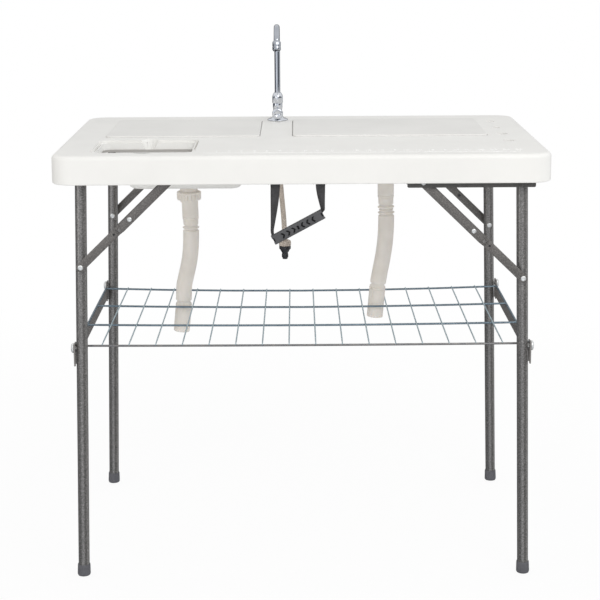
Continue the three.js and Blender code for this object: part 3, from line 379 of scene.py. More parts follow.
# An object from a shell, its faces turned outwards
def build(name, shell, look):
    mesh = bpy.data.meshes.new(name)
    mesh.from_pydata(np.asarray(shell[0]) * metre, [], shell[1])
    work = bmesh.new()
    work.from_mesh(mesh)
    bmesh.ops.recalc_face_normals(work, faces=work.faces)
    work.to_mesh(mesh)
    work.free()
    obj = bpy.data.objects.new(name, mesh)
    bpy.context.scene.collection.objects.link(obj)
    mesh.materials.append(made[look])
    return obj


# Modifiers become the mesh
def settled(obj):
    graph = bpy.context.evaluated_depsgraph_get()
    mesh = bpy.data.meshes.new_from_object(obj.evaluated_get(graph))
    obj.modifiers.clear()
    obj.data = mesh


# Cutters are taken out of an object, then its sharp edges are broken
def carve(obj, cutters, bevel=0.0, segments=2):
    tools = [build("cutter", shell, "rubber") for shell in cutters]
    for tool in tools:
        change = obj.modifiers.new("cut", "BOOLEAN")
        change.operation = "DIFFERENCE"
        change.solver = "EXACT"
        change.object = tool
    settled(obj)
    for tool in tools:
        bpy.data.objects.remove(tool)
    if bevel:
        change = obj.modifiers.new("edge", "BEVEL")
        change.width = bevel * metre
        change.segments = segments
        change.limit_method = "ANGLE"
        change.angle_limit = math.radians(45)
        settled(obj)
    while len(obj.data.materials) > 1:
        obj.data.materials.pop()


# A shell, itself cut first, is fused with an object
def join(obj, shell, look, cutters=()):
    extra = build("extra", shell, look)
    if cutters:
        carve(extra, cutters)
    change = obj.modifiers.new("join", "BOOLEAN")
    change.operation = "UNION"
    change.object = extra
    settled(obj)
    bpy.data.objects.remove(extra)


# Shading splits at edges sharper than "smooth" degrees; "even" keeps large flat faces free of their edges' curve
def finished(obj, body, replaces=None, smooth=35, even=False):
    obj.data.polygons.foreach_set("use_smooth", np.ones(len(obj.data.polygons), bool))
    obj.data.set_sharp_from_angle(angle=math.radians(smooth))
    if even:
        obj.modifiers.new("even", "WEIGHTED_NORMAL").keep_sharp = True
        settled(obj)
    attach(obj, body)
    if replaces:
        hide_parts(replaces)
    return obj


# A whole piece: built, cut, shaded and riding on its body
def piece(name, shell, look, body, replaces=None, cutters=(), bevel=0.0, smooth=35):
    obj = build(name, shell, look)
    if cutters or bevel:
        carve(obj, cutters, bevel)
    return finished(obj, body, replaces, smooth)


# A box (x0, x1, y0, y1), made smaller by "by" on every side
def within(box, by):
    return box[0] + by, box[1] - by, box[2] + by, box[3] - by


# Cutter for a round hole
def bored(radius, z0, z1):
    return lathe([(0, z0), (radius, z0), (radius, z1), (0, z1)])


past = 4  # how far a cutter reaches past the face it cuts
swapped = np.eye(4)[[1, 0, 2, 3]]  # exchanges X and Y

# Top and lids. draft: how far the rim's foot stands out; proud: the lid above the deck; skirt: below lid or waste hole
top = dict(width=1000, depth=610, height=905, deck=13, rimDrop=58, rimWall=6, draft=0.4, corner=42, edge=9, lip=2.6)
lid = dict(
    front=-44, rear=228, thickness=10, proud=3, corner=14, edge=2.2, clearance=1.2, ledge=12, skirt=6, skirtWall=3,
    skirtClearance=1.5, notch=14, notchDepth=6,
)
lids = dict(left=(-421, -88), right=(-19, 403))
# The last three entries size the grey ring of painted shade at the foot of the waste mouth: its width, sink and height
waste = dict(
    left=-426, right=-215, front=-258, rear=-78, corner=24, ledge=8, step=5, notch=20, skirt=12,
    skirtWall=3, skirtFront=4, boss=(14, 21), flute=(17, 8), grooves=(-157, -136), grooveHalf=(1.6, 50), grooveDepth=9,
    shadeRing=2, shadeRingSunk=0.4, shadeRingHeight=5.1,
)
toolHoles = dict(x=436, first=184, pitch=99.5, radii=(9, 9, 12, 12))


def middle(which):
    return sum(lids[which]) / 2


def lidBox(which, by=0.0):
    return within((*lids[which], lid["front"], lid["rear"]), by)


# The rim's foot is half an ellipse, (wall / 2) cos t across and lip sin t deep; the deck's edge is a quarter circle
def makeTop():
    x1, y1, height = top["width"] / 2, top["depth"] / 2, top["height"]
    under, bottom = height - top["deck"], height - top["rimDrop"]
    edge, lip, wall, draft = top["edge"], top["lip"], top["rimWall"], top["draft"]
    foot, turn = np.linspace(0, np.pi, 9)[1:-1], np.linspace(0, np.pi / 2, 9)
    levels = np.vstack([
        [(under, wall + 5), (under - 1.5, wall + 1.5), (under - 5, wall), (bottom + lip, wall - draft * 0.9)],
        np.c_[bottom + lip - lip * np.sin(foot), wall / 2 - draft + wall / 2 * np.cos(foot)],
        [(bottom + lip, -draft), (height - edge - 12, -draft * 0.35)],
        np.c_[height - edge * (1 - np.sin(turn)), edge * (1 - np.cos(turn))],
    ])
    obj = build("moulded_top", stack((-x1, x1, -y1, y1), top["corner"], levels, 16), "whiteMoulding")

    ledge, corner, skirt = waste["ledge"], waste["corner"] - waste["ledge"], under - waste["skirt"]
    chute = (waste["left"], waste["right"], waste["front"], waste["rear"])
    mouth, x = within(chute, ledge), (chute[0] + chute[1]) / 2
    outside = within(mouth, -waste["skirtWall"])
    around = (*outside[:2], mouth[2] + waste["skirtFront"], outside[3])
    join(obj, stack(around, corner, [(skirt, 0.6), (skirt + 0.8, 0), (under + 0.5, 0)]), "whiteMoulding")
    low, high = waste["boss"]
    boss = lathe([(0.001, skirt), (low, skirt), (high, under + 0.4), (0.001, under + 0.4)])
    join(obj, placed(boss, move(x, mouth[3], 0)), "whiteMoulding")

    cutters = []
    for which in lids:
        bed, radius, floor = height - lid["thickness"] + lid["proud"], lid["notch"], height - lid["notchDepth"]
        cutters.append(stack(lidBox(which), lid["corner"], [(bed, 0), (height + past, 0)]))
        cutters.append(stack(lidBox(which, lid["ledge"]), lid["corner"], [(under - past, 0), (height + past, 0)]))
        dish = [(0, height + past), (radius + 1, height + past), (radius, height - 1), (radius - 1.5, height - 5),
                (radius - 4, floor), (0, floor)]
        cutters.append(placed(lathe(dish), move(middle(which), lid["rear"], 0)))
    radius, floor = waste["notch"], height - waste["step"]
    cutters.append(stack(chute, waste["corner"], [(floor, 0), (height + past, 0)]))
    cutters.append(stack(mouth, corner, [(skirt - past, 0), (height + past, 0)]))
    bowl = [(0, height + past), (radius + 1, height + past), (radius, height - 1), (radius - 2, floor), (0, floor)]
    cutters += [placed(lathe(bowl), move(x, y, 0)) for y in mouth[2:]]
    high, low = waste["flute"]
    flute = lathe([(0, height - 4), (high, height - 4), (low, skirt + 3), (0, skirt + 3)])
    cutters.append(placed(flute, move(x, mouth[3], 0)))
    across, along = waste["grooveHalf"]
    for side, y in zip((chute[0] + ledge / 2, chute[1] - ledge / 2), waste["grooves"]):
        groove = (side - across, side + across, y - along, y + along)
        cutters.append(stack(groove, 1.5, [(height - waste["grooveDepth"], 0), (height + 1, 0)], 4))
    spots = [(r, toolHoles["x"], toolHoles["first"] - i * toolHoles["pitch"]) for i, r in enumerate(toolHoles["radii"])]
    for radius, *spot in spots + [(tap["shank"] + seat, tap["x"], tap["y"])]:
        cutters.append(placed(bored(radius, under - past, height + past), move(*spot, 0)))
    carve(obj, cutters, 0.9, 3)

    # A grey ring of painted shade, where the foot of the chute wall lies in shadow
    start = skirt + waste["shadeRingSunk"]
    shadeRing = stack(within(mouth, -waste["shadeRingSunk"]), corner, [(start, 0), (start + waste["shadeRingHeight"], 0)])
    inner = stack(within(mouth, waste["shadeRing"]), corner - waste["shadeRing"], [(skirt - past, 0), (skirt + 9, 0)])
    piece("waste_shade_ring", shadeRing, "greyShadeRing", "table", cutters=[inner])
    return finished(obj, "table", "table_top", 40, True)


# The lid's upper edge is a quarter circle
def makeLid(which):
    roof, edge, wall = top["height"] + lid["proud"], lid["edge"], lid["skirtWall"]
    under, by = roof - lid["thickness"] + seat, lid["ledge"] + lid["skirtClearance"]
    turn = np.linspace(0, np.pi / 2, 6)[1:]
    levels = np.vstack([
        [(under, 0.4), (under + 0.4, 0), (roof - edge, 0)],
        np.c_[roof - edge * (1 - np.sin(turn)), edge * (1 - np.cos(turn))],
    ])
    obj = build(f"{which}_sink_lid", stack(lidBox(which, lid["clearance"]), lid["corner"], levels), "lidMoulding")
    skirt = stack(lidBox(which, by), lid["corner"], [(under - lid["skirt"], 0), (under + wall, 0)])
    inside = stack(lidBox(which, by + wall), lid["corner"], [(under - lid["skirt"] - past, 0), (under, 0)])
    join(obj, skirt, "lidMoulding", [inside])
    notch = bored(lid["notch"], under - past, roof + past)
    carve(obj, [placed(notch, move(middle(which), lid["rear"], 0))], 0.6)
    return finished(obj, f"{which}_lid", f"{which}_lid", 40, True)


# Ruler. marks: half width and length of each inch's full mark and of its three quarter marks
ruler = dict(
    start=-196, pitch=25.4, inches=25, numeralY=-246, lineY=-267, numeralSize=15.4, rise=0.45, sunk=0.2, line=0.4,
    marks=((0.45, 13), (0.3, 6), (0.3, 9), (0.3, 6)),
)


def makeRuler():
    start, pitch, y, line = (ruler[k] for k in ("start", "pitch", "lineY", "line"))
    z0, z1, text = top["height"] - ruler["sunk"], top["height"] + ruler["rise"], []
    for quarter in range(ruler["inches"] * 4 + 1):
        x, (half, reach) = start + quarter * pitch / 4, ruler["marks"][quarter % 4]
        text.append(block((x - half, y, z0), (x + half, y + reach, z1)))
    text.append(block((start, y - line, z0), (start + ruler["inches"] * pitch, y + line, z1)))
    for inch in range(1, ruler["inches"] + 1):
        curve = bpy.data.curves.new("numeral", "FONT")
        curve.body, curve.size, curve.align_x = str(inch), ruler["numeralSize"], "CENTER"
        curve.extrude, curve.resolution_u = (z1 - z0) / 2, 3
        obj = bpy.data.objects.new("numeral", curve)
        bpy.context.scene.collection.objects.link(obj)
        mesh = obj.evaluated_get(bpy.context.evaluated_depsgraph_get()).to_mesh()
        shell = np.array([v.co for v in mesh.vertices]), [list(p.vertices) for p in mesh.polygons]
        text.append(placed(shell, move(start + inch * pitch, ruler["numeralY"], (z0 + z1) / 2)))
        bpy.data.objects.remove(obj)
    # The marks are coloured brighter than the deck: painted highlight
    return piece("ruler_marks", merged(*text), "numerals", "table", smooth=20)


# Sinks. heel: radius of the bowl's foot; taper: how far the walls lean in; neck: from the floor to the slip nut
sink = dict(wall=3.5, flange=9, flangeThickness=3, corner=30, heel=14, drainY=110, drainHole=20.5)
sinks = dict(left=dict(floor=783.5, taper=34, neck=23.5), right=dict(floor=813, taper=26, neck=12))


# The heel is a quarter circle: z = floor + heel (1 - cos t), inset = taper + heel (1 - sin t)
def makeSink(which):
    floor, taper, wall, heel = sinks[which]["floor"], sinks[which]["taper"], sink["wall"], sink["heel"]
    brim = top["height"] - top["deck"] - seat
    under, turn = brim - sink["flangeThickness"], np.linspace(0, np.pi / 2, 8)
    bowl = np.c_[floor + heel * (1 - np.cos(turn)), taper + heel * (1 - np.sin(turn))]
    flange = [(under, -wall), (under, -sink["flange"]), (brim, -sink["flange"]), (brim, 0)]
    levels = np.vstack([bowl - (0, wall), flange, (bowl + (wall, 0))[::-1]])
    shell = stack(lidBox(which, lid["ledge"]), sink["corner"], levels, 10, 0.5)
    hole = placed(bored(sink["drainHole"], floor - past, floor + 2 * past), move(middle(which), sink["drainY"], 0))
    return piece(f"{which}_sink_tub", shell, "whiteMoulding", "table", f"{which}_sink", [hole])


# Drains. nutLift: how far the nut starts above its foot in the frame; ribs: count, depth, gain and shift of "grooved"
drain = dict(
    flange=29, flangeThickness=2, tail=20, bore=15.6, locknut=28, locknutHeight=8, nut=27.4, nutHeight=24, nutLift=5,
    ribs=(20, 0.07, 2.2, -0.9), spigot=13.6, spigotLength=20, spigotBore=11.6,
)
hose = dict(sleeve=18.4, bore=15.2, tight=13.3, ribPitch=2, face=16.6)

# Routes in X and Z below the nuts, as in the frame. sleeve: end of the plain part; ridges, waist and end: mm down it
hoses = dict(
    left=dict(
        sleeve=43, ridges=[59], waist=234, end=305,
        route=[
            (1.6, 0), (2.1, -22), (2.7, -42), (3, -64), (2.7, -84), (1.5, -106), (-1.2, -130), (-5.7, -153),
            (-11, -175), (-15.3, -194), (-16.6, -214), (-17.4, -236), (-19, -258), (-21.6, -282), (-24.4, -306),
        ],
    ),
    right=dict(
        sleeve=36, ridges=[55, 68], waist=237, end=314,
        route=[
            (0, 0), (0.2, -26), (0.8, -52), (1.6, -72), (1.6, -92), (0.9, -114), (-0.9, -138), (-3.6, -160),
            (-7.2, -182), (-11.6, -205), (-15.4, -227), (-17.8, -248), (-19.7, -269), (-21.5, -291), (-23.4, -315),
        ],
    ),
)


# The hose's outside and inside as (way down, radius): sleeve, ridges, fine ribs, waist and end, then back up the bore
def hoseProfile(sleeve, ridges, waist, end):
    stops = [(-drain["nutLift"], hose["sleeve"]), (sleeve - 9, hose["sleeve"]), (sleeve - 8, 17.2),
             (sleeve - 6.6, 18.5), (sleeve - 4, 18.3), (sleeve - 3, 16.6), (sleeve - 1.4, 17.6), (sleeve, 17.2)]
    for ridge in ridges:
        stops += [(ridge - 7, 16.8), (ridge - 5, 14.3), (ridge - 3.6, 14.3), (ridge - 0.9, 18.6), (ridge, 19),
                  (ridge + 0.9, 18.6), (ridge + 3.6, 14.3), (ridge + 5, 14.3)]
    stops = stops[:1] + [b for a, b in zip(stops, stops[1:]) if b[0] > a[0] + 0.2]
    first, pitch = ridges[-1] + 7, hose["ribPitch"]
    for start in first + np.arange(int((waist - 7 - first) / pitch)) * pitch:
        stops += [(start, 17.75), (start + 0.35 * pitch, 18.1), (start + 0.7 * pitch, 18.1)]
    stops += [(waist - 5, 18.2), (waist - 3, 17.6), (waist - 0.8, 14.8), (waist + 1.6, 14.8), (waist + 4, 17.4),
              (waist + 5.6, 18.2), (waist + 6.6, 16.6), (waist + 8, 18.6), (waist + 10.4, 18.5), (waist + 11.4, 16.8),
              (waist + 12.8, 18.4), (end - 1.5, 18.4), (end - 0.4, 18.2), (end, 17.6)]
    bore, tight = hose["bore"], hose["tight"]
    stops += [(end, hose["face"]), (end - 1, bore), (end - 40, bore), (waist + 8, tight), (waist - 12, tight),
              (end * 0.5, tight), (sleeve, tight), (20, bore), (-drain["nutLift"], bore), stops[0]]
    return np.array(stops)


# Each ring of the hose: p + radius (cos t across + sin t Y), where across is the route's direction turned by 90 degrees
def makeDrain(which):
    shape, wall, tail, bore, spigot = hoses[which], sink["wall"], drain["tail"], drain["bore"], drain["spigot"]
    x, y, z = middle(which), sink["drainY"], sinks[which]["floor"]
    drop, lift, nut = sinks[which]["neck"] + drain["nutHeight"], drain["nutLift"], drain["locknut"]
    inside, foot = wall + seat, -seat - drain["locknutHeight"]
    roof, tip = inside + drain["flangeThickness"], -drop - drain["spigotLength"]
    profile = rounded([
        (bore, roof), (drain["flange"], roof), (drain["flange"], inside), (tail, inside), (tail, -seat), (nut, -seat),
        (nut, foot), (tail, foot), (tail, -drop), (spigot, -drop), (spigot, tip), (drain["spigotBore"], tip),
        (drain["spigotBore"], -drop), (bore, -drop + 6), (bore, roof),
    ], 0.6, 2)
    piece(f"{which}_drain_neck", placed(lathe(profile), move(x, y, z)), "drainPlastic", "table", f"{which}_drain_tail")

    bore, outer, tall = tail + seat, drain["nut"], drain["nutHeight"] - lift
    levels = [(bore, 0, 0), (outer - 2.4, 0, 0), (outer - 1.2, 0.5, 0.4), (outer - 0.2, 2.2, 1), (outer, 4, 1),
              (outer, tall - 7, 1), (outer - 0.3, tall - 5.4, 0.6), (outer + 0.2, tall - 4.6, 0),
              (outer + 0.2, tall - 2, 0), (outer - 0.8, tall - 0.6, 0), (outer - 2.4, tall, 0), (bore, tall, 0),
              (bore, 0, 0)]
    ring = placed(grid(grooved(levels, *drain["ribs"], 240)), move(x, y, z - drop + lift))
    piece(f"{which}_slip_nut", ring, "drainPlastic", "table", f"{which}_drain_nut")

    centre = smoothPath([(a, 0, b) for a, b in shape["route"]], 8)
    reach = np.r_[0, np.cumsum(np.linalg.norm(np.diff(centre, axis=0), axis=1))]

    def onRoute(spots):
        return np.column_stack([np.interp(spots, reach, centre[:, k]) for k in range(3)])

    spots, radii = hoseProfile(shape["sleeve"], shape["ridges"], shape["waist"], shape["end"]).T
    zero, down = 0 * spots, np.maximum(spots, 0)
    along = onRoute(np.clip(down + 4, 0, reach[-1])) - onRoute(np.clip(down - 4, 0, reach[-1]))
    along /= np.linalg.norm(along, axis=1)[:, None]
    across, turn = np.c_[-along[:, 2], zero, along[:, 0]], np.linspace(0, 2 * np.pi, 48, endpoint=False)[:, None]
    rings = np.cos(turn) * across[:, None] + np.sin(turn) * (0, 1, 0)
    rows = (onRoute(spots) + np.c_[zero, zero, np.maximum(-spots, 0)])[:, None] + radii[:, None, None] * rings
    start = np.array([x, y, z - drop - seat])
    obj = piece(f"{which}_ribbed_hose", placed(grid(rows), move(*start)), "drainPlastic", "table", smooth=60)
    path = np.vstack([centre[:1], onRoute(np.linspace(0, shape["end"], 30)[1:])])
    path = [tuple(point) for point in ((path + start) * metre).tolist()]
    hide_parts(f"{which}_drain_hose")


# Tap, from the deck at its place. bell: the spout nut's (height, radius) as shares; flats: its hexagon's share
tap = dict(
    x=-53, y=231, flange=24, flangeHeight=5, bodyRadius=11, bodyTop=40, bellRadius=13, bellHeight=24, flats=0.93,
    bell=(
        (0, 0.93), (0.04, 0.98), (0.1, 1), (0.5, 1), (0.62, 0.98), (0.75, 0.88), (0.88, 0.74), (0.96, 0.65), (1, 0.6),
    ),
    tube=6.5, wall=1.2, arcTop=217, arcRadius=45, arcEnd=158, aerator=9.5, aeratorLength=22, knurl=(40, 0.03, 0.5, 0.5),
    bossHeight=18, bossReach=17, bossRadius=9, knob=12.6, knobDepth=12, knobRibs=(12, 0.045, 1.5, -0.6), shank=9.5,
    shankLength=42, nut=19, nutHeight=10,
)


# The swan neck's arc: y = -r (1 - cos t), z = top - r + r sin t
def arcPoint(angle):
    radius = tap["arcRadius"]
    return np.array([0, -radius * (1 - math.cos(angle)), tap["arcTop"] - radius + radius * math.sin(angle)])


def makeTap():
    at = move(tap["x"], tap["y"], top["height"])
    flange, radius, shank, roof = tap["flange"], tap["bodyRadius"], tap["shank"], tap["bodyTop"]
    body = rounded([
        (0.001, -tap["shankLength"]), (shank, -tap["shankLength"]), (shank, seat), (flange, seat), (flange, 2),
        (flange - 3.5, 4), (15, tap["flangeHeight"]), (radius + 0.6, 10), (radius - 1, 14), (radius - 1, 24),
        (radius, 30), (radius, roof), (0.001, roof),
    ], 1.2)
    boss = rod(tap["bossRadius"], (0, 0, tap["bossHeight"]), (0, -tap["bossReach"], tap["bossHeight"]), 40, 0.8)
    piece("tap_column", placed(merged(lathe(body, 64), boss), at), "chrome", "table", "tap_base", smooth=50)

    wide, deep = tap["knob"], tap["knobDepth"]
    levels = [(0.001, 0, 0), (9.5, 0, 0), (10.6, 0.7, 0.5), (wide - 0.4, 2.2, 1), (wide, 4, 1), (wide, deep - 2.4, 1),
              (wide - 0.9, deep - 0.8, 0.5), (wide - 2.4, deep, 0), (8.4, deep, 0), (7.6, deep - 0.8, 0),
              (5.6, deep - 2.6, 0), (3, deep - 3.2, 0), (0.001, deep - 3.2, 0)]
    forward = at @ move(0, -tap["bossReach"] - seat, tap["bossHeight"]) @ spin(math.pi / 2, "X")
    knob = merged(grid(grooved(levels, *tap["knobRibs"], 96), (True, True)), rod(3, (0, 0, -6), (0, 0, 3)))
    piece("tap_round_knob", placed(knob, forward), "chrome", "tap_knob", "tap_knob")
    makeBell(at)

    turn = np.linspace(0, math.radians(tap["arcEnd"]), 48)
    path = [(0, 0, z) for z in np.linspace(roof + 2 * seat, tap["arcTop"] - tap["arcRadius"], 12)]
    path += [arcPoint(t) for t in turn[1:]]
    count, i = 40 * len(path), np.arange(40)
    j = (i + 1) % 40
    points, faces = merged(sweep(path, tap["tube"], 40, False), sweep(path, tap["tube"] - tap["wall"], 40, False))
    for start in (0, count - 40):
        faces += (start + np.stack([i, j, count + j, count + i], axis=1)).tolist()
    # The spout takes the darker chrome copy: painted reflection
    piece("swan_neck_spout", placed((points, faces), at), "spoutChrome", "spout", "spout", smooth=60)

    length, wide, bore = tap["aeratorLength"], tap["aerator"], tap["tube"] - tap["wall"]
    levels = [(bore, 0, 0), (7.6, 0, 0), (8.4, -0.6, 0), (wide - 0.3, -2.4, 0), (wide, -3, 1), (wide, -11, 1),
              (wide - 0.4, -11.6, 0), (wide - 1, -12.4, 0), (wide - 1, -13.2, 0), (wide, -14, 0),
              (wide, -length + 3, 0), (wide - 0.6, -length + 1.4, 0), (8, -length, 0), (6.6, -length, 0),
              (6, -length + 1.5, 0), (bore, -length + 1.5, 0), (bore, 0, 0)]
    tilt = at @ move(*arcPoint(turn[-1])) @ spin(turn[-1] - math.pi, "X") @ move(0, 0, -seat)
    aerator = placed(grid(grooved(levels, *tap["knurl"], 160)), tilt)
    # The aerator takes the same darker chrome copy: painted reflection
    piece("knurled_aerator", aerator, "spoutChrome", "spout", "aerator", smooth=40)

    turn, z = np.arange(6) * np.pi / 3, -top["deck"] - seat
    nut = flat(tap["nut"] * np.c_[np.cos(turn), np.sin(turn)], z - tap["nutHeight"], z, 0.8)
    hole = rod(shank + seat, (0, 0, z - tap["nutHeight"] - past), (0, 0, z + past), 48)
    piece("tap_hex_locknut", placed(nut, at), "zincPlate", "table", "tap_locknut", [placed(hole, at)], 0.5)


# The spout nut is a turned bell cut by a hexagon: r = the smaller of the bell's radius and flat / cos(t to the flat)
def makeBell(at):
    turn, wide = np.linspace(0, 2 * np.pi, 144, endpoint=False), tap["bellRadius"]
    hexagon = 1 / np.cos((turn + np.pi / 6) % (np.pi / 3) - np.pi / 6)
    z, share = np.array(tap["bell"]).T[:, :, None]
    flats = np.where(z < 0.8, tap["flats"], 1) * wide * np.minimum(1, share + 0.06) * hexagon
    bore = np.full((1, 144), tap["tube"] + 0.4)
    reach = np.vstack([bore, np.minimum(wide * share, flats), bore, bore])
    heights = tap["bodyTop"] + seat + np.r_[0, z[:, 0], 1, 0] * tap["bellHeight"]
    piece("spout_bell_nut", placed(grid(turned(reach, heights, turn)), at), "chrome", "table", "spout_nut", smooth=22)


# Supply hose below the tap's shank, as in the frame, with the nut's and the coupling's profiles in (radius, height)
supply = dict(
    radius=6, gap=16, ribs=(16, 0.05, 1.8, -0.6),
    route=[
        (0, 0, 0), (0, 0, -16), (0.4, -0.2, -34), (1.4, -0.8, -54), (2.8, -1.6, -76), (4.6, -2.8, -98), (6.4, -4, -120),
        (8.2, -5.2, -142), (10, -6.4, -162), (11.5, -7.4, -180), (12.6, -8, -196), (13.3, -8.2, -212), (14, -8.4, -226),
        (14.6, -8.6, -241),
    ],
    nut=[
        (6.4, 0, 0), (10.5, 0, 0), (12.8, -1.2, 0.3), (14.1, -3.4, 1), (14.3, -6, 1), (14.3, -11, 1),
        (13.7, -12.4, 0.4), (13, -13, 0), (4, -13, 0), (4, -4, 0), (6.4, -4, 0), (6.4, 0, 0),
    ],
    coupling=[
        (4, 3), (13.7, 3), (13.7, -4.4), (11.4, -6.5), (7.9, -13), (7, -14.2), (7, -16.5), (7.75, -17.6), (7.75, -24),
        (7.2, -25.4), (6, -26), (6, -29), (4, -29), (4, 3),
    ],
)


def makeSupply():
    centre = smoothPath(supply["route"]) + (tap["x"], tap["y"], top["height"] - tap["shankLength"] - seat)
    obj = piece("braided_supply_hose", sweep(centre, supply["radius"], 32), "beigePlastic", "table", smooth=60)
    ring = placed(grid(grooved(supply["nut"], *supply["ribs"], 192)), move(*centre[-1] - (0, 0, seat)))
    nut = piece("ribbed_coupling_nut", ring, "beigePlastic", "table", "coupling_nut", smooth=30)
    plug = placed(lathe(rounded(supply["coupling"], 0.7, 3)), move(*centre[-1] - (0, 0, supply["gap"] + 2 * seat)))
    coupling = piece("push_in_coupling", plug, "blackPlastic", "table", "quick_coupling")
    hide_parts("supply_hose")


# Legs. splay: how far a standing leg leans outwards; stud: where the rack's stud stands above the rack's wires
legs = dict(
    pivotX=442.5, splay=math.radians(1.7), y=268, radius=11.6, wall=1.5, foot=13.2, footFlare=0.6, footHeight=25,
    footSole=5, hingeRadius=10, boss=8, pin=5, pinHead=8, headHeight=2.4, rivetHead=5.6,
)
pivotZ = dict(left=875, right=847)


# A frame of each side whose X points to the middle of the table
def sideFrame(side):
    if side == "left":
        return move(-legs["pivotX"], 0, 0)
    return move(legs["pivotX"], 0, 0) @ spin(math.pi, "Z")


def outward(side, face):
    return -signs[side] * signs[face]


def onLeg(side, out):
    return move(0, out * legs["y"], pivotZ[side]) @ spin(legs["splay"], "Y")


# Length of one link, and the spot (X, Z) at "run" along the open brace and "off" across it
def braceAt(side):
    knee = math.pi / 2 + legs["splay"]
    angle = math.pi + (math.pi - knee) / 2

    def at(run, off=0.0):
        return (
            brace["arm"] + run * math.cos(angle) - off * math.sin(angle),
            pivotZ[side] + run * math.sin(angle) + off * math.cos(angle),
        )

    return brace["arm"] * math.sin(knee / 2), at


# A rod across the table at a spot (X, Z), from y0 to y1
def crossRod(spot, radius, y0, y1, segments=24, edge=0.0):
    return rod(radius, (spot[0], y0, spot[1]), (spot[0], y1, spot[1]), segments, edge)


# A rivet's head: r cos(t) ^ 0.8 out, 0.3 + (rise - 0.3) sin t high, dimpled in the middle
def head(at, y, out, radius, rise):
    turn = np.linspace(0, np.pi / 2, 7)[:-1]
    dome = np.c_[radius * np.cos(turn) ** 0.8, 0.3 + (rise - 0.3) * np.sin(turn)]
    dome = np.vstack([
        [(0.001, -0.3), (radius * 0.97, -0.3), (radius * 0.97, 0)], dome[dome[:, 0] > radius * 0.42],
        [(radius * 0.38, rise - 0.2), (radius * 0.3, rise - 1.1), (0.001, rise - 1.2)],
    ])
    return placed(lathe(dome, 32), move(at[0], y, at[1]) @ spin(-out * math.pi / 2, "X"))


# The tube's upper end is a low dome: r sin t out, r - 4 + 4 cos t up
def makeLeg(side, face):
    out, base, name, z = outward(side, face), sideFrame(side), f"{side}_{face}", pivotZ[side]
    sole = -z / math.cos(legs["splay"])
    y, radius, bore, end = legs["y"], legs["radius"], legs["radius"] - legs["wall"], sole + legs["footSole"]
    turn = np.linspace(0.01, np.pi / 2, 9)
    crown = np.c_[radius * np.sin(turn), radius - 4 + 4 * np.cos(turn)]
    tube = lathe(np.vstack([[(0.001, radius)], crown, [(radius, end), (bore, end), (bore, -20), (0.001, -20)]]))
    pivot, outside = (0, z), rail["outerY"]
    bossEnd = outside - rail["sheet"] - seat

    def along(size, start, stop):
        return crossRod(pivot, size, out * start, out * stop, 32, 0.3)

    shell = merged(
        placed(tube, onLeg(side, out)), along(legs["boss"], y, bossEnd), along(legs["pin"], bossEnd - 1, outside - 0.6),
    )
    piece(f"{name}_leg_tube", placed(shell, base), "hammertone", f"{side}_legs", f"{name}_leg", smooth=40)
    cap = head(pivot, out * (outside + seat), out, legs["pinHead"], legs["headHeight"])
    pin = merged(along(legs["pin"], outside - 1, outside + seat + 1), cap)
    piece(f"{name}_pivot_pin", placed(pin, base), "railSteel", f"{side}_legs")
    studZ, reach = rack["z"] + rack["studRise"], rack["railX"] + rack["railThickness"] - seat - legs["pivotX"]
    start = (studZ - z) * math.tan(legs["splay"])
    stud = rod(rack["stud"], (start, out * y, studZ), (-reach, out * y, studZ), 32, 0.4)
    piece(f"{name}_rack_stud", placed(stud, base), "zincPlate", f"{side}_legs", f"{name}_stud", smooth=50)
    link, at = braceAt(side)
    spot, inner = at(2 * link), y - radius
    bright = merged(
        crossRod(spot, brace["rivetHead"], out * y, out * (inner - 0.2), 32),
        head(spot, out * inner, -out, legs["rivetHead"], brace["rivetRise"]),
    )
    piece(f"{name}_leg_rivets", placed(bright, base), "zincPlate", f"{side}_legs", smooth=50)

    wide, lip, roof = legs["foot"], legs["foot"] + legs["footFlare"], sole + legs["footHeight"]
    profile = [(0.001, sole - 4), (lip - 1.2, sole - 4), (lip - 1.2, sole), (lip - 0.9, sole + 0.6), (lip, sole + 2.6),
               (lip, sole + 5), (wide + 0.2, roof - 5), (wide, roof - 1.6), (wide - 0.5, roof - 0.4),
               (wide - 1.3, roof), (radius + seat, roof - 0.3), (radius + seat, end), (0.001, end)]
    cup = placed(placed(lathe(profile, 64), onLeg(side, out)), base)
    low, high = cup[0].min(0), cup[0].max(0)
    floor = block((low[0] - 9, low[1] - 9, -12), (high[0] + 9, high[1] + 9, 0))
    piece(f"{name}_rubber_foot", cup, "rubber", f"{side}_legs", f"{name}_foot", [floor])


# A plain tube between the two legs
def makeHinge(side):
    reach = legs["y"] - legs["radius"] - seat
    outer, bore = legs["hingeRadius"], legs["hingeRadius"] - legs["wall"]
    profile = [(bore, -reach), (outer - 0.3, -reach), (outer, -reach + 0.4), (outer, reach - 0.4), (outer - 0.3, reach),
               (bore, reach), (bore, -reach)]
    tube = placed(lathe(profile), sideFrame(side) @ move(0, 0, pivotZ[side]) @ spin(math.pi / 2, "X"))
    piece(f"{side}_cross_tube", tube, "hammertone", f"{side}_legs", f"{side}_hinge_tube")


# Rails. start and end: from the leg's pivot, along X; below: under the pivot; screws: shares of the length
rail = dict(
    start=-24, end=232, below=10, sheet=2.2, innerY=251.6, outerY=294.2, cornerCut=2, bend=3, screws=(0.12, 0.5, 0.9),
    screw=((0.001, -2.4), (4.2, -1.8), (4.6, 0), (0.001, 0)),
)


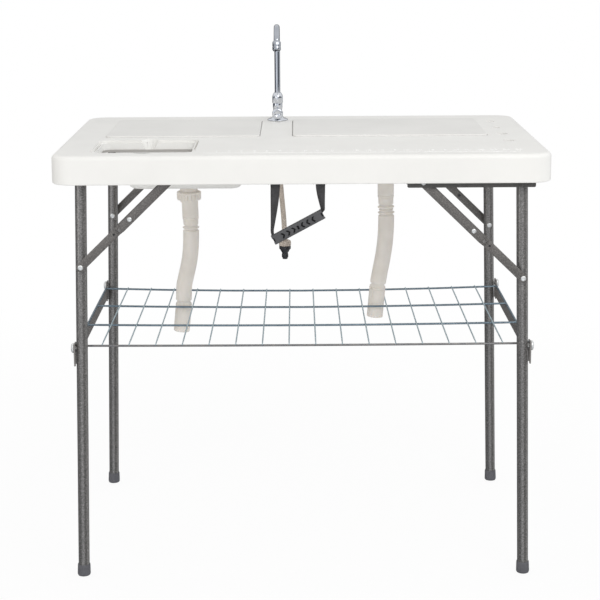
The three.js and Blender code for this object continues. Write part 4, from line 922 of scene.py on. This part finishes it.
# An open channel, drawn along X from its section in (Y, Z), with its corners cut and its holes drilled
def makeRail(side, face):
    out, base, name = outward(side, face), sideFrame(side), f"{side}_{face}"
    x0, x1, inner, outer, sheet, bend = (rail[k] for k in ("start", "end", "innerY", "outerY", "sheet", "bend"))
    bottom, roof, notch = pivotZ[side] - rail["below"], top["height"] - top["deck"] - seat, rail["cornerCut"] + 3
    corners = [(inner, bottom), (inner, roof), (outer, roof), (outer, bottom)]
    high, y0, y1 = roof - sheet, inner + sheet, outer - sheet
    inside = [(y1, bottom), (y1, high), (y0, high), (y0, bottom)]
    section = np.vstack([rounded(corners, bend, 5), rounded(inside, bend - 1, 5)]) * (out, 1)
    rows = [np.c_[np.full(len(section), x), section] for x in np.linspace(x0, x1, 8)]
    cutters = []
    for x, way in ((x0, 1), (x1, -1)):
        wedge = [(x - way * 3, bottom - 3), (x + way * notch, bottom - 3), (x - way * 3, bottom + notch)]
        cutters.append(placed(upright(wedge, inner - 5, outer + 5, 0.01), np.diag([1, out, 1, 1])))
    for spot, start, end, radius in (
        ((0, pivotZ[side]), inner - 4, inner + sheet + 2, legs["hingeRadius"] + 0.5),
        ((0, pivotZ[side]), outer - sheet - 2, outer + 4, legs["pin"] + 0.5),
        (braceAt(side)[1](0), outer - sheet - 2, outer + 4, brace["hole"]),
    ):
        cutters.append(crossRod(spot, radius, out * start, out * end, 40))
    shell, cutters = placed(grid(rows, (True, True)), base), [placed(cutter, base) for cutter in cutters]
    obj = piece(f"{name}_channel_rail", shell, "railSteel", "table", f"{name}_rail", cutters, 0.25, 50)
    screw, y = lathe(rounded(rail["screw"], 0.5, 3), 24), out * (inner + outer) / 2
    screws = [placed(screw, base @ move(x0 + s * (x1 - x0), y, roof - sheet - 0.1)) for s in rail["screws"]]
    piece(f"{name}_rail_screws", merged(*screws), "zincPlate", "table")
    return obj


# Braces. arm: from the leg's pivot to each end of the brace; overlap: the upper link past the knee; Y from the middle
brace = dict(
    arm=200, upperWidth=19, lowerWidth=17.4, taper=12, sheet=2, overlap=37, lip=1.2, lowerY=282, upperY=286.8, rivet=3,
    rivetHead=5, rivetRise=2.3, spacer=5.5, hole=3.5, lockHole=2.4, lockAt=46,
)


# Each end is a half circle, or straight across
def linkOutline(at, start, end, width, roundEnd):
    half, points = width / 2, []
    for run, sign, isRound in ((end, 1, roundEnd), (start, -1, True)):
        turn = np.linspace(-np.pi / 2, np.pi / 2, 17 if isRound else 2)
        points.append(np.column_stack(at(run + sign * half * np.cos(turn) * isRound, sign * half * np.sin(turn))))
    return np.vstack(points)


# The upper link is an angle with a lock at its lower end, the lower link a flat strip
def makeLinks(side, face):
    name, mirror = f"{side}_{face}", sideFrame(side) @ np.diag([1, outward(side, face), 1, 1])
    upper, lower, (link, at) = f"{side}_upper_links", f"{side}_lower_links", braceAt(side)
    far, sheet, upperY, lowerY = link + brace["overlap"], brace["sheet"], brace["upperY"], brace["lowerY"]
    outside, faceY = rail["outerY"] + seat, upperY + sheet

    def plate(corners, y0, y1, edge=0.35):
        return upright([at(run, off) for run, off in corners], y0, y1, edge)

    edge, narrow, near = -brace["upperWidth"] / 2, brace["lowerWidth"] / 2 - 0.6, far - brace["taper"]
    outline = [at(near, edge), at(far, -narrow), at(far, narrow), at(near, -edge)]
    web = upright(np.vstack([outline, linkOutline(at, 0, far, brace["upperWidth"], False)[2:]]), upperY, faceY)
    lip = plate([(0, edge), (near, edge), (near, edge + brace["lip"]), (0, edge + brace["lip"])], lowerY, faceY, 0.3)
    groove = plate([(far - 2.4, -5), (far - 1.2, -5), (far - 1.2, 5), (far - 2.4, 5)], faceY - 1.6, faceY + 3, 0.1)
    slit = plate([(far - 14, -5.4), (far - 5, -3.8), (far - 5, -2.6), (far - 14, -4.2)], upperY + 0.6, upperY + 5, 0.1)
    tongue = plate([(far - 10, -2.2), (far - 4, -2.2), (far - 4, 3.4), (far - 10, 3.4)], upperY + 1, faceY + 1.4, 0.5)
    piece(f"{name}_upper_brace", placed(merged(web, lip), mirror), "darkSteel", upper, f"{name}_upper_link",
          [placed(groove, mirror), placed(slit, mirror)], smooth=50)
    # Painted highlight: the tongue is pressed from the upper link yet coloured in the paler hammertone, for the light
    # it catches
    piece(f"{name}_lock_tongue", placed(tongue, mirror), "hammertone", upper)
    dome = brace["rivetHead"], brace["rivetRise"]
    zinc = merged(
        crossRod(at(0), brace["spacer"], upperY + 1, rail["outerY"] - rail["sheet"] - seat),
        crossRod(at(0), brace["rivet"], upperY, outside), head(at(0), outside, 1, *dome),
        crossRod(at(link), brace["rivet"], lowerY, faceY), head(at(link), faceY, 1, *dome),
    )
    piece(f"{name}_upper_rivets", placed(zinc, mirror), "zincPlate", upper, smooth=50)

    knee, lock, end = at(link), at(link + brace["lockAt"]), at(2 * link)
    web = upright(linkOutline(at, link, 2 * link, brace["lowerWidth"], True), lowerY, lowerY + sheet)
    holes = [crossRod(spot, radius, lowerY - past, lowerY + past, 32)
             for spot, radius in ((knee, brace["hole"]), (lock, brace["lockHole"]))]
    piece(f"{name}_lower_brace", placed(web, mirror), "darkSteel", lower, f"{name}_lower_link",
          [placed(hole, mirror) for hole in holes], smooth=50)
    # Painted shade: a dark plug in the lock hole and a dark disc behind the link, in black plastic, so that the hole
    # shows dark
    holeShadePlug = crossRod(lock, brace["lockHole"] - 0.8, lowerY + 0.2, lowerY + sheet - 0.7, 24, 0.3)
    shadeDisc = crossRod(lock, brace["lockHole"] + 1, lowerY - 0.6, lowerY + 0.4)
    piece(f"{name}_lock_hole_shade", placed(merged(holeShadePlug, shadeDisc), mirror), "blackPlastic", lower)
    zinc = merged(crossRod(end, 6, legs["y"] + legs["radius"] + seat, lowerY + 0.2, 32, 0.2),
                  head(end, lowerY + sheet, 1, legs["rivetHead"], legs["headHeight"]))
    piece(f"{name}_lower_rivets", placed(zinc, mirror), "zincPlate", lower, smooth=50)


# Rack. rows: Y of the long wires; sag: how far the middle hangs, seen at every third cross wire; ear: from the wires' Z
rack = dict(
    z=500, halfLength=468.3, rows=(-245, -82, 82, 245), longWire=2.3, crossWire=1.5, crossWires=16, crossReach=415,
    weld=0.5, bead=(1.9, 0.9), sagRear=8, sagFront=1.5, sagPitches=3, railX=466.8, railThickness=3, railHeight=25,
    earFrom=-34, earTo=12, earWidth=24, stud=4, slot=6, studRise=2, cap=10, capHeight=5.6,
)


# Sag: z falls by (1 - (x / half) ^ 2) times the row's sag. A bead of weld is an ellipse: 1.9 cos t out, 0.9 sin t up
def makeRack():
    half, rows, long, cross = rack["halfLength"], rack["rows"], rack["longWire"], rack["crossWire"]
    up, pitch = long + cross - rack["weld"], 2 * rack["crossReach"] / (rack["crossWires"] - 1)
    stations = np.r_[-half, np.arange(-2, 3) * rack["sagPitches"] * pitch, half]

    def sagged(points):
        points = np.array(points, float)
        bow = np.interp(points[:, 0], stations, 1 - (stations / half) ** 2)
        back = (points[:, 1] - rows[0]) / (rows[-1] - rows[0])
        points[:, 2] += rack["z"] - bow * (rack["sagFront"] + (rack["sagRear"] - rack["sagFront"]) * back)
        return points

    turn, (out, tall) = np.linspace(-1.3, 1.3, 7), rack["bead"]
    bead = lathe(np.vstack([[(0.001, -tall)], np.c_[out * np.cos(turn), tall * np.sin(turn)], [(0.001, tall)]]), 12)
    sizes = [long - 0.4] + [long] * 31 + [long - 0.4]
    wires = [sweep(sagged([(x, y, 0) for x in np.linspace(-half, half, 33)]), sizes) for y in rows]
    for x in (-half, half):
        wires.append(sweep(sagged([(x, y, 0) for y in np.linspace(rows[0], rows[-1], 9)]), long))
    thin, sizes = [], [cross - 0.5] + [cross] * 15 + [cross - 0.5]
    for x in pitch * np.arange(rack["crossWires"]) - rack["crossReach"]:
        path = [(x, y, up) for y in np.linspace(rows[0] - long, rows[-1] + long, 17)]
        thin.append(sweep(sagged(path), sizes, 12))
        thin += [placed(bead, move(*spot)) for spot in sagged([(x, y, long) for y in rows])]
    piece("welded_long_wires", merged(*wires[1:]), "longZinc", "rack", "rack_grid", smooth=60)
    piece("front_long_wire", wires[0], "dullZinc", "rack", smooth=60)
    piece("welded_cross_wires", merged(*thin), "zincWire", "rack", smooth=60)

    barTop, studZ = rack["z"] - long - seat, rack["z"] + rack["studRise"]
    barFoot, wide, slot = barTop - rack["railHeight"], rack["earWidth"] / 2, rack["slot"]
    low, high, slotTop = rack["z"] + rack["earFrom"], rack["z"] + rack["earTo"], studZ + rack["stud"] + seat
    front, rear = -legs["y"], legs["y"]
    outline = [
        (front - wide, high), (front - wide, low), (front - slot, low), (front - slot, slotTop),
        (front + slot, slotTop), (front + slot, low), (front + wide, low), (front + wide, barFoot),
        (rear - wide, barFoot), (rear - wide, low), (rear - slot, low), (rear - slot, slotTop),
        (rear + slot, slotTop), (rear + slot, low), (rear + wide, low), (rear + wide, high),
        (rear - wide, high), (rear - wide, barTop), (front + wide, barTop), (front + wide, high),
    ]
    radius, tall = rack["cap"], rack["capHeight"]
    cap = lathe(rounded([
        (0.001, 0), (radius, 0), (radius, tall - 2), (radius - 3, tall), (4, tall), (3.4, tall - 0.8),
        (0.001, tall - 0.8),
    ], 1.1))
    for side in lids:
        sign = signs[side]
        start, end = sorted((sign * rack["railX"], sign * (rack["railX"] + rack["railThickness"])))
        bar = placed(upright(outline, start, end, 0.3), swapped)
        piece(f"{side}_hook_bar", bar, "barSteel", "rack", f"{side}_rack_bar", smooth=30)
        for face in ("front", "rear"):
            spot = sign * (rack["railX"] + rack["railThickness"] + seat), signs[face] * legs["y"], studZ
            shell = placed(cap, move(*spot) @ spin(sign * math.pi / 2, "Y"))
            piece(f"{side}_{face}_round_cap", shell, "zincPlate", "rack", f"{side}_{face}_hook_cap")


# Carry handle. Each strap: its anchor's X, the way it turns, how far, how far it drifts, and its tuck at the grip
handle = dict(
    pivotY=-291.5, pivotZ=850, bracketTop=884, screwZ=874, knuckle=4.2, strapWidth=19, strapThickness=2, loop=5.2,
    bar=2.6,
    straps=dict(
        left=dict(x=-54, end=(-57, 733), way=1, turn=1.42, drift=0.72, tuck=4),
        right=dict(x=36, end=(37, 783.6), way=-1, turn=1.2, drift=0.8, tuck=7),
    ),
    gripWidth=20, gripDepth=11, gripEnds=(-0.5, 6), slots=7, slotPitch=12, slotShift=3,
)


# The knuckle of a bracket is a quarter circle of radius 4.2 around the bar
def makeBracket(side):
    face, x, half = -top["depth"] / 2 + top["rimWall"] + seat, handle["straps"][side]["x"], handle["strapWidth"] / 2 + 1
    y, z, radius, turn = handle["pivotY"], handle["pivotZ"], handle["knuckle"], np.linspace(0, np.pi / 2, 7)
    back = block((x - half - 3, face, z + 6.2), (x + half + 3, face + 3, handle["bracketTop"]))
    outline = np.vstack([
        [(face, z + 8), (face, z - 4), (y - 2, z - radius)],
        np.c_[y + radius * np.sin(turn), z - radius * np.cos(turn)], [(y + radius, z + 8)],
    ])
    cheeks = [placed(upright(outline, start, start + 3, 0.3), swapped) for start in (x - half - 3, x + half)]
    pin, up = rod(handle["bar"], (x - half - 1.5, y, z), (x + half + 1.5, y, z), 32), handle["screwZ"]
    screws = [rod(3.4, (x + d, face + 2.9, up), (x + d, face + 4.6, up), 24, 0.6) for d in (-7, 7)]
    shell = merged(back, *cheeks, pin, *screws)
    piece(f"{side}_strap_bracket", shell, "gripPlastic", "table", f"{side}_strap_anchor", smooth=40)


# The strap loops round the bar, r (cos t, sin t) in Y and Z, then drops and turns by turn ((s - 0.05) / 0.95) ^ 0.9
def makeStrap(side):
    y, z, loop, thick, width = (handle[k] for k in ("pivotY", "pivotZ", "loop", "strapThickness", "strapWidth"))
    x, end, way, most, drift, tuck = handle["straps"][side].values()
    t, s, radius = np.linspace(0.35 - np.pi / 2, 1.5 * np.pi - 0.35, 30), np.linspace(0, 1, 26)[1:], loop - thick / 2
    angle = way * most * (np.maximum(s - 0.05, 0) / 0.95) ** 0.9
    shift = way * (width / 2 * (1 - np.cos(angle)) * drift - tuck * np.maximum(s - 0.86, 0) / 0.14)
    drop = np.c_[x + (end[0] - x) * s - shift, np.full(25, y), z - loop - s * (z - loop - end[1] - 2)]
    points = np.vstack([np.c_[np.full(30, x), y + radius * np.cos(t), z + radius * np.sin(t)], drop]) + (1.4, 0, 0)
    across = np.vstack([np.tile((1.0, 0, 0), (30, 1)), np.c_[np.cos(angle), np.sin(angle), 0 * s]])
    across *= (width / 2 * np.r_[np.ones(30), 1 - 0.3 * s])[:, None]
    normal = np.vstack([np.c_[0 * t, np.cos(t), np.sin(t)], np.c_[np.sin(angle), -np.cos(angle), 0 * s]]) * thick / 2
    sides = np.array([-1, -0.93, 0.93, 1, 1, 0.93, -0.93, -1])[:, None]
    faces = np.array([0.65, 1, 1, 0.65, -0.65, -1, -1, -0.65])[:, None]
    rows = points[:, None] + across[:, None] * sides + normal[:, None] * faces
    piece(f"{side}_webbing_strap", grid(rows, (True, True)), "webbing", "carry_handle", f"{side}_strap", smooth=50)


# A channel between the straps' ends, open to the rear, with an arrow-shaped slot at every pitch
def makeGrip():
    start, end = (np.array(handle["straps"][side]["end"], float) for side in lids)
    length, slope = math.hypot(*end - start), math.atan2(*(end - start)[::-1])
    half, depth, (first, more) = handle["gripWidth"] / 2, handle["gripDepth"], handle["gripEnds"]
    last, inner = length + more, half - 2.4
    section = rounded([
        (-half, 0), (-half, depth - 2), (-half + 3, depth), (half - 3, depth), (half, depth - 2), (half, 0), (inner, 0),
        (inner, depth - 3), (-inner, depth - 3), (-inner, 0),
    ], 1.2, 3)
    rows = [np.c_[np.full(len(section), s), section] for s in np.linspace(first, last, 24)]
    cutters = []
    for away in np.arange(handle["slots"]) - (handle["slots"] - 1) / 2:
        s = length / 2 + away * handle["slotPitch"] + handle["slotShift"]
        s0, s1, tip, bow = s - 2.1, s + 2.1, -4 * np.sign(away), 5.6 if away else 4
        outline = [(s0, -bow), (s0 + tip, 0), (s0, bow), (s1, bow), (s1 + tip, 0), (s1, -bow)]
        cutters.append(flat(outline, depth - 5, depth + past, 0.05))
    for s in (first, last):
        cutters.append(stack((s - 4, s + 4, -4, 4), 1.5, [(depth - 6, 0), (depth + past, 0)], 4))
    back = handle["pivotY"] - handle["strapThickness"] / 2 - seat
    matrix = move(start[0], back, start[1]) @ spin(-slope, "Y") @ spin(math.pi / 2, "X")
    shell, cutters = placed(grid(rows, (True, True)), matrix), [placed(cutter, matrix) for cutter in cutters]
    piece("slotted_grip", shell, "gripPlastic", "carry_handle", "carry_grip", cutters, 0.3, 40)
    # The strip inside the grip takes the darker webbing colour: painted shade
    strip = block((first + 0.5, -inner + 0.4, 1.4), (last - 0.5, inner - 0.4, depth - 3.4))
    piece("webbing_in_grip", placed(strip, matrix), "shadedWebbing", "carry_handle")


# Studio. sky: the walls that chrome mirrors, as shares of a full turn; glow: the floor's white near and far, in metres
studio = dict(
    sky=[(0, "#4a4b50"), (0.15, "#55575d"), (0.24, "#7b7f88"), (0.31, "#3c4352"), (0.38, "#454c5a"), (0.43, "#e6edf6"),
         (0.53, "#f6f9ff"), (0.58, "#4b4f58"), (0.68, "#5c6068"), (0.74, "#e4e6e9"), (0.85, "#d0d2d5"),
         (0.92, "#5a5c61"), (1, "#4a4b50")],
    overhead="#fafbfd", rise=(0.02, 0.45), gloss=0.95, left="#fffdf9", right="#fbfdff", ambient=0.8, across=0.12,
    floor=(-9000, 9000, -9000, 12000, -2), pale=0.86,
    glow={"From Min": 0.7, "From Max": 2.2, "To Min": 0.93, "To Max": 1.0},
    lamps=dict(
        key=dict(place=(1100, -2300, 2700), target=(0, 0, 700), size=1500, power=27),
        strip=dict(place=(-2400, -1900, 1000), target=(0, 0, 600), size=1300, power=9),
    ),
)


# White to the camera, soft and even to diffuse rays, and a room of bright and dark walls to glossy rays
def makeWorld():
    world = bpy.data.worlds.new("studio")
    bpy.context.scene.world = world
    world.use_nodes = True
    tree = world.node_tree
    plain = tree.nodes["Background"]
    plain.inputs["Color"].default_value = (1, 1, 1, 1)
    plain.inputs["Strength"].default_value = 1
    way = addNode(tree, "ShaderNodeTexCoord", {})["Generated"]
    split = addNode(tree, "ShaderNodeSeparateXYZ", {"Vector": way})
    mirrored = addNode(tree, "ShaderNodeMath", {0: split["Y"], 1: -1}, operation="MULTIPLY")[0]
    angle = addNode(tree, "ShaderNodeMath", {0: split["X"], 1: mirrored}, operation="ARCTAN2")[0]
    share = addNode(tree, "ShaderNodeMath", {0: angle, 1: 0.5 / math.pi, 2: 0.5}, operation="MULTIPLY_ADD")[0]
    walls = addNode(tree, "ShaderNodeValToRGB", {"Fac": share})["Color"]
    for i, (at, code) in enumerate(studio["sky"]):
        ramp = walls.node.color_ramp
        element = ramp.elements[i] if i < 2 else ramp.elements.new(at)
        element.position, element.color = at, colour(code)
    low, high = studio["rise"]
    rise = addNode(tree, "ShaderNodeMapRange", {"Value": split["Z"], "From Min": low, "From Max": high})["Result"]
    sky = {"Factor": rise, 6: walls, 7: colour(studio["overhead"])}
    sky = addNode(tree, "ShaderNodeMix", sky, data_type="RGBA")[2]
    gloss = addNode(tree, "ShaderNodeBackground", {"Color": sky, "Strength": studio["gloss"]})[0]
    side = addNode(tree, "ShaderNodeMath", {0: split["X"], 1: 0.5, 2: 0.5}, operation="MULTIPLY_ADD")[0]
    tint = {"Factor": side, 6: colour(studio["left"]), 7: colour(studio["right"])}
    tint = addNode(tree, "ShaderNodeMix", tint, data_type="RGBA")[2]
    power = {0: split["X"], 1: studio["across"], 2: studio["ambient"]}
    power = addNode(tree, "ShaderNodeMath", power, operation="MULTIPLY_ADD")[0]
    last = addNode(tree, "ShaderNodeBackground", {"Color": tint, "Strength": power})[0]
    ray = addNode(tree, "ShaderNodeLightPath", {})
    for kind, source in (("Is Glossy Ray", gloss), ("Is Camera Ray", plain.outputs[0])):
        last = addNode(tree, "ShaderNodeMixShader", {"Fac": ray[kind], 1: last, 2: source})[0]
    tree.links.new(last, tree.nodes["World Output"].inputs["Surface"])


# A pale floor that takes a faint shadow near the feet, fades to white with distance and is clear from below
def makeFloor():
    white = bpy.data.materials.new("floor_white")
    white.use_nodes = True
    tree = white.node_tree
    pale = tree.nodes["Principled BSDF"]
    pale.inputs["Base Color"].default_value = (*[studio["pale"]] * 3, 1)
    pale.inputs["Roughness"].default_value = 1
    place = addNode(tree, "ShaderNodeTexCoord", {})["Object"]
    away = addNode(tree, "ShaderNodeVectorMath", {0: place}, operation="LENGTH")["Value"]
    fade = addNode(tree, "ShaderNodeMapRange", {"Value": away, **studio["glow"]})["Result"]
    seen = addNode(tree, "ShaderNodeLightPath", {})["Is Camera Ray"]
    share = addNode(tree, "ShaderNodeMath", {0: seen, 1: fade}, operation="MULTIPLY")[0]
    glow = addNode(tree, "ShaderNodeEmission", {"Strength": 1})[0]
    skin = addNode(tree, "ShaderNodeMixShader", {"Fac": share, 1: pale.outputs[0], 2: glow})[0]
    below = addNode(tree, "ShaderNodeNewGeometry", {})["Backfacing"]
    clear = addNode(tree, "ShaderNodeBsdfTransparent", {})[0]
    skin = addNode(tree, "ShaderNodeMixShader", {"Fac": below, 1: skin, 2: clear})[0]
    tree.links.new(skin, tree.nodes["Material Output"].inputs["Surface"])
    made["floorWhite"] = white
    x0, x1, y0, y1, z = studio["floor"]
    floor = build("floor", grid([[(x0, y0, z), (x1, y0, z)], [(x0, y1, z), (x1, y1, z)]], wrap=False), "floorWhite")
    floor.visible_glossy = False


# Each lamp looks along the line from its place to its target
def makeLamps():
    for name, look in studio["lamps"].items():
        light = bpy.data.lights.new(name, "AREA")
        light.size, light.energy = look["size"] * metre, look["power"]
        lamp = bpy.data.objects.new(name, light)
        bpy.context.scene.collection.objects.link(lamp)
        here, there = (np.array(look[k], float) for k in ("place", "target"))
        back = (here - there) / np.linalg.norm(here - there)
        across = np.cross((0, 0, 1), back)
        across /= np.linalg.norm(across)
        turn = Matrix(np.c_[across, np.cross(back, across), back].tolist()).to_4x4()
        lamp.matrix_world = Matrix.Translation(here * metre) @ turn


# Camera, fitted to the photograph: place in mm, angles in degrees, focal length and frame in the photograph's pixels
camera = dict(
    place=(-10.3, -3190, 1355), pitch=13.07, yaw=0.12, roll=0.32, focal=1476, frame=600, sensor=36, shift=-0.06,
)


def makeCamera():
    lens = bpy.data.cameras.new("camera")
    lens.sensor_width = camera["sensor"]
    lens.lens = camera["focal"] / camera["frame"] * camera["sensor"]
    lens.shift_y = camera["shift"]
    lens.clip_end = 100
    view = bpy.data.objects.new("camera", lens)
    bpy.context.scene.collection.objects.link(view)
    pitch, yaw, roll = (math.radians(camera[k]) for k in ("pitch", "yaw", "roll"))
    forward = np.array([math.sin(yaw) * math.cos(pitch), math.cos(yaw) * math.cos(pitch), -math.sin(pitch)])
    right = np.array([math.cos(yaw), -math.sin(yaw), 0])
    up = np.cross(right, forward)
    across, above = right * math.cos(roll) - up * math.sin(roll), up * math.cos(roll) + right * math.sin(roll)
    turn = Matrix(np.c_[across, above, -forward].tolist()).to_4x4()
    view.matrix_world = Matrix.Translation(np.array(camera["place"]) * metre) @ turn
    bpy.context.scene.camera = view


makeTop()
for which in lids:
    makeLid(which)
    makeSink(which)
makeRuler()
print("top, lids, sinks and ruler")

for which in hoses:
    makeDrain(which)
print("drains")

makeTap()
makeSupply()
print("tap and supply hose")

for side in pivotZ:
    for face in ("front", "rear"):
        makeLeg(side, face)
        makeRail(side, face)
        makeLinks(side, face)
    makeHinge(side)
print("legs, rails and braces")

makeRack()
print("rack")

for side in handle["straps"]:
    makeBracket(side)
for side in handle["straps"]:
    makeStrap(side)
makeGrip()
print("carry handle")

# The two strainers keep the frame's own form
for name in ("left_strainer", "right_strainer"):
    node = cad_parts[name]
    node.data.materials.clear()
    node.data.materials.append(made["zincPlate"])

bpy.context.scene.view_settings.view_transform = "Standard"
makeWorld()
makeFloor()
makeLamps()
makeCamera()
print("studio")
